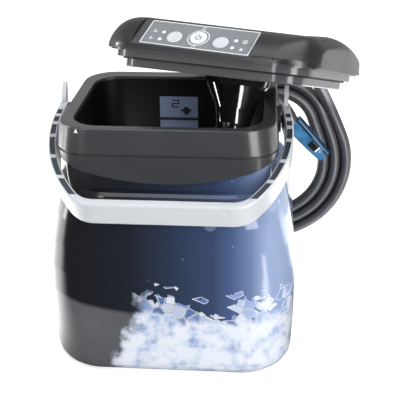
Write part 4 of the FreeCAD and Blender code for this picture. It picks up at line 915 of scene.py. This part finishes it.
@dataclass
class Connector:
    """The hose's connector: its finish, the raised frame round the button and small marks."""

    half_depth: float = 6.25
    button: float = 34.56
    frame_half: float = 5.5
    frame_below: float = 8.4
    frame_above: float = 7.2

    def front(self) -> Matrix:
        """Return a frame on the front face: x across, y back along the connector, z out."""
        along = Vector(AIM).normalized()
        out = Vector((0, -1, 0))
        turn = Matrix((out.cross(along), -along, out)).transposed().to_4x4()
        return shifted(*HEEL) @ turn @ shifted(0, 0, self.half_depth)

    def build(self) -> list:
        """Build the trim and return its pieces."""
        SHOP.dress(connector_body=CONNECTOR_ABS, connector_button=LATCH_POM)
        spot = (Body.LID, "connector", self.front())
        low, high = -self.button - self.frame_below, -self.button + self.frame_above
        rim = Print("connector_rim", TRIM_ABS, *spot, height=0.5)
        rim.outline((-self.frame_half, low), (self.frame_half, high), 0.7)
        marks = Print("connector_marks", PRINT_WHITE, *spot, height=0.3)
        marks.polygon(rectangle((-3.6, low + 0.5), (4.2, low + 2.6)))
        for left in (-0.2, 3.2):
            marks.line((left, low - 2.2), (left + 1.8, low - 2.2), 0.9)
        return [rim.piece(), marks.piece()]


@dataclass
class Hose:
    """The coiled hose: lead from the gland, turns, tail and connector."""

    gland: tuple = (145.003, 75.922, 268.051)
    bend: tuple = (147.567, 82.075, 260.597)
    lead: tuple = ((159.0, 115, 232.9), (172, 119.5, 205))
    over: tuple = ((32.8, 114, 180.3), (46.0, 108, 205.0))
    tail: tuple = ((74.0, 105, 244.0), (110.0, 104, 236.0))
    centre: tuple = (93.5, 152.0)
    plane: float = 119.0
    outer: float = 93.2
    pitch: float = 13.1
    join: float = 34.0
    start: float = 12.0
    end: float = -902.0
    per_turn: int = 18
    bulge: float = 10.0
    bulge_at: float = 66.0
    bulge_half: float = 22.0
    step_lead: float = 0.12
    step_part: float = 0.14
    rib_at: float = 76.0
    rib_half: float = 0.15
    rib_rise: float = 0.06
    groove_at: float = 122.0
    groove_half: float = 0.4
    groove_depth: float = 0.08
    oval: float = 0.02
    light_lean: float = 14.0
    segments: int = 32

    def radius(self, angle: float) -> float:
        """Return the coil's radius: each turn steps inwards just before it passes the lead."""
        passed = (self.join - angle) / 360
        radius = self.outer
        for turn in (1, 2):
            radius -= self.pitch * ease((passed - turn + self.step_lead) / self.step_part)
        return radius + self.bulge * hump(angle % 360, self.bulge_at, self.bulge_half)

    def turns(self) -> list:
        """Return the coil's points, clockwise from the lead to the tail, inwards."""
        steps = round((self.start - self.end) / 360 * self.per_turn)
        grow = 1 / cos(pi / self.per_turn)
        points = []
        for step in range(steps + 1):
            angle = self.start + (self.end - self.start) * step / steps
            reach = self.radius(angle) * grow
            x = self.centre[0] + reach * cos(radians(angle))
            z = self.centre[1] + reach * sin(radians(angle))
            points.append((x, self.plane, z))
        return points

    def route(self) -> list:
        """Return every control point of the hose, in millimetres."""
        ends = [*self.over, *self.tail, HEEL]
        return [self.gland, self.bend, *self.lead, *self.turns(), *ends]

    def spine(self) -> list:
        """Return the points that the smooth line of the hose runs through, in metres."""
        curve = bpy.data.curves.new("hose_route", "CURVE")
        curve.dimensions = "3D"
        curve.resolution_u = 6
        spline = curve.splines.new("NURBS")
        points = self.route()
        spline.points.add(len(points) - 1)
        for point, place in zip(spline.points, points):
            point.co = (*(Vector(place) * MM), 1.0)
        spline.order_u = 3
        spline.use_endpoint_u = True
        thing = new_object("hose_route", curve)
        bpy.context.view_layer.update()
        mesh = bpy.data.meshes.new_from_object(thing)
        line = [vertex.co.copy() for vertex in mesh.vertices]
        bpy.data.objects.remove(thing)
        bpy.data.curves.remove(curve)
        bpy.data.meshes.remove(mesh)
        return line

    def section(self, angle: float) -> float:
        """Return the hose's half thickness at an angle from outwards to the front."""
        groove = hump(angle, radians(self.groove_at), self.groove_half)
        wide = 1.0 + self.oval * cos(angle) ** 2
        ribbed = wide + self.rib_rise * self.crest(angle)
        return HOSE / 2 * (ribbed - self.groove_depth * groove)

    def crest(self, angle: float) -> float:
        """Return 1 on the rib along the hose's front and 0 away from it; this also places the
        hose's painted highlight.
        """
        return hump(angle, radians(self.rib_at), self.rib_half)

    def tube(self, line: list) -> bpy.types.Object:
        """Build the ribbed hose along a line.

        Args:
            line: points of its centre line.

        Returns:
            The finished piece.
        """
        bm = bmesh.new()
        crest = bm.verts.layers.float.new("crest")
        facing = bm.verts.layers.float.new("facing")
        size = {"segments": self.segments, "radius": HOSE / 2 * MM}
        ring = bmesh.ops.create_circle(bm, cap_ends=True, **size)["verts"]
        front = Vector((0, -1, 0))
        for number, point in enumerate(line):
            before, after = line[max(0, number - 1)], line[min(len(line) - 1, number + 1)]
            along = (after - before).normalized()
            outwards = front.cross(along).normalized()
            forwards = along.cross(outwards).normalized()
            if number:
                inner = {edge for vertex in ring for edge in vertex.link_edges}
                edges = [edge for edge in inner if all(end in ring for end in edge.verts)]
                grown = bmesh.ops.extrude_edge_only(bm, edges=edges)["geom"]
                new = [part for part in grown if isinstance(part, bmesh.types.BMVert)]
                partner = {vertex.co.copy().freeze(): vertex for vertex in new}
                ring = [partner[vertex.co.copy().freeze()] for vertex in ring]
            for step, vertex in enumerate(ring):
                angle = tau * step / self.segments
                wrapped = (angle + pi) % tau - pi
                reach = self.section(wrapped) * MM
                # crest places the painted highlight; facing is painted light, bright to the front
                # and shaded in the flanks
                vertex[crest] = self.crest(wrapped)
                vertex[facing] = max(0.0, sin(angle + radians(self.light_lean)))
                out = outwards * cos(angle) + forwards * sin(angle)
                vertex.co = point + out * reach
        bm.faces.new(ring)
        return new_mesh("hose", bm, HOSE_TPU, Body.LID, smooth=60)

    def build(self) -> None:
        """Build the whole sub-assembly."""
        line = self.spine()
        hose = self.tube(line)
        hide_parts("hose_lead", "hose_coil", "hose_tail")
        SHOP.dress(hose_gland=GLAND_TPE)
        trim = Connector().build()


@dataclass(frozen=True)
class Card:
    """A bright card on the floor, in metres, that only glossy surfaces see."""

    level: float
    middle: tuple
    size: tuple
    turn: float = 0.0
    soft: float = 0.03

    def amount(self, right: Socket, back: Socket) -> Socket:
        """Return 1 on the card and 0 off it, with soft edges, from the floor's x and y."""
        angle = radians(self.turn)
        inside = []
        for across, along, half in (
            (cos(angle), sin(angle), self.size[0] / 2),
            (-sin(angle), cos(angle), self.size[1] / 2),
        ):
            shift = -self.middle[0] * across - self.middle[1] * along
            place = summed(shift, (right, across), (back, along))
            place = maths("ABSOLUTE", place)
            inside.append(eased(place, half + self.soft, half - self.soft))
        return product(*inside)


@dataclass(frozen=True)
class Lamp:
    """A rectangular soft box: its middle, the point that it faces and its size, in metres."""

    name: str
    place: tuple
    aim: tuple
    size: tuple
    watts: float

    def hang(self) -> None:
        """Hang the soft box."""
        data = bpy.data.lights.new(self.name, "AREA")
        data.shape = "RECTANGLE"
        data.size, data.size_y = self.size
        data.energy = self.watts
        thing = new_object(self.name, data)
        thing.location = self.place
        way = Vector(self.aim) - Vector(self.place)
        thing.rotation_euler = way.to_track_quat("-Z", "Y").to_euler()


@dataclass
class Studio:
    """Floor, backdrop, lamps, world and camera."""

    pitch: float = 25.165
    heading: float = -4.946
    roll: float = -0.65
    focal_px: float = 876.13
    eye: tuple = (97.8, -841.04, 551.6)
    front_level: float = 0.06
    cards: tuple = (
        # behind the object: seen at a grazing angle by the lid and the collar
        Card(level=1.1, middle=(0.0, 1.6), size=(3.6, 3.0), soft=0.05),
        # beside it: the white bands down both edges of the gloss wrap
        Card(level=3.2, middle=(-0.75, 0.2), size=(1.2, 0.6), soft=0.06),
        Card(level=2.6, middle=(0.75, 0.25), size=(1.2, 0.24)),
        # right front: a faint streak on the wrap's right corner
        Card(level=7.0, middle=(0.4, -0.33), size=(0.5, 0.05), turn=-37, soft=0.03),
    )
    lamps: tuple = (
        Lamp("right box", (0.92, -1.02, 0.7), (0.05, -0.05, 0.2), (0.5, 1.4), 16),
        Lamp("front strip", (-0.79, -1.36, 0.8), (0.05, 0, 0.3), (0.3, 1.1), 6),
        Lamp("left box", (-1.0, -0.02, 0.45), (0, 0, 0.2), (0.16, 0.9), 3.5),
        # inside the tub: faint streaks on its walls and on the pump column
        Lamp("tub strip left", (-0.082, 0.005, 0.2), (0.05, 0.0, 0.25), (0.014, 0.08), 0.06),
        Lamp("tub strip right", (0.078, -0.066, 0.235), (0.06, 0.05, 0.28), (0.014, 0.05), 0.04),
        Lamp("collar strip", (0.95, -1.6, 0.22), (0, 0, 0.25), (0.3, 0.5), 3),
        Lamp("top box", (0.1, -0.2, 1.4), (0, 0, 0.2), (1.4, 1.0), 8),
    )

    def camera(self) -> None:
        """Place the camera."""
        data = bpy.data.cameras.new("camera")
        data.sensor_fit = "HORIZONTAL"
        data.sensor_width = SENSOR_MM
        data.lens = self.focal_px / WIDTH_PX * SENSOR_MM
        data.clip_start, data.clip_end = 0.01, 20.0
        thing = new_object("camera", data)
        turn = turned("Z", -self.heading) @ turned("X", 90 - self.pitch) @ turned("Z", self.roll)
        thing.matrix_world = shifted(*self.eye) @ turn
        bpy.context.scene.camera = thing

    def stage_finish(self) -> Material:
        """Return a matt floor that the camera sees as white and gloss sees with cards."""
        material, shader, place = new_material("pale matt studio paper")
        tie(shader, {"Base Color": linear("#f0f0f0"), "Roughness": 0.9, "Specular IOR Level": 0.1})
        rays = add_node(place, "LightPath").outputs
        clear = maths("MAXIMUM", rays["Is Camera Ray"], rays["Is Transmission Ray"])
        away = vectors("LENGTH", place)
        level = product(clear, mapped(away, (0.2, 0.9), (0.6, 1.0)))
        glow = add_node(place, "Emission", {"Color": linear("#ffffff"), "Strength": level})
        lit = {0: shader.outputs["BSDF"], 1: glow.outputs["Emission"]}
        seen = add_node(place, "AddShader", lit).outputs[0]
        mirrored = add_node(place, "Emission", {"Strength": self.card_level(place)})
        both = {0: rays["Is Glossy Ray"], 1: seen, 2: mirrored.outputs["Emission"]}
        output = next(node for node in material.node_tree.nodes if node.type == "OUTPUT_MATERIAL")
        tie(output, {"Surface": add_node(place, "MixShader", both).outputs["Shader"]})
        return material

    def card_level(self, place: Socket) -> Socket:
        """Return how bright glossy surfaces see the floor: dark in front, with white cards."""
        axes = add_node(place, "SeparateXYZ", {"Vector": place}).outputs
        shares = [(card.amount(axes["X"], axes["Y"]), card.level) for card in self.cards]
        return summed(self.front_level, *shares)

    def floor(self) -> None:
        """Lay the floor."""
        bm = bmesh.new()
        bmesh.ops.create_grid(bm, x_segments=1, y_segments=1, size=6.0)
        mesh = bpy.data.meshes.new("floor")
        bm.to_mesh(mesh)
        bm.free()
        thing = new_object("floor", mesh)
        mesh.materials.append(self.stage_finish())

    def world(self) -> None:
        """Make a white world that is dimmer in front, where a studio is dark."""
        world = bpy.data.worlds.new("studio")
        bpy.context.scene.world = world
        world.use_nodes = True
        tree = world.node_tree
        tree.nodes.clear()
        rays = add_node(tree, "LightPath").outputs
        way = add_node(tree, "TexCoord").outputs["Generated"]
        axes = add_node(tree, "SeparateXYZ", {"Vector": way}).outputs
        front = mapped(axes["Y"], (-0.5, 0.4), (0.05, 0.45))
        paper = product(eased(axes["X"], -0.62, -0.85), rays["Is Glossy Ray"])
        level = summed(front, (paper, 0.6))
        sockets = {"Factor": rays["Is Camera Ray"], "A": level, "B": 1.0}
        lit = add_node(tree, "Mix", sockets, data_type="FLOAT").outputs["Result"]
        sky = add_node(tree, "Background", {"Color": linear("#ffffff"), "Strength": lit})
        add_node(tree, "OutputWorld", {"Surface": sky.outputs["Background"]})

    def build(self) -> None:
        """Build the stage."""
        self.camera()
        self.floor()
        self.world()
        for lamp in self.lamps:
            lamp.hang()
        bpy.context.scene.view_settings.view_transform = "Standard"


def main() -> None:
    """Build every sub-assembly."""
    logging.basicConfig(level=logging.INFO, format="%(name)s: %(message)s")
    Studio().build()
    Hose().build()
    Cooler().build()
    Handle().build()
    Lid().build()
    Column().build()


if __name__ == "__main__":
    main()
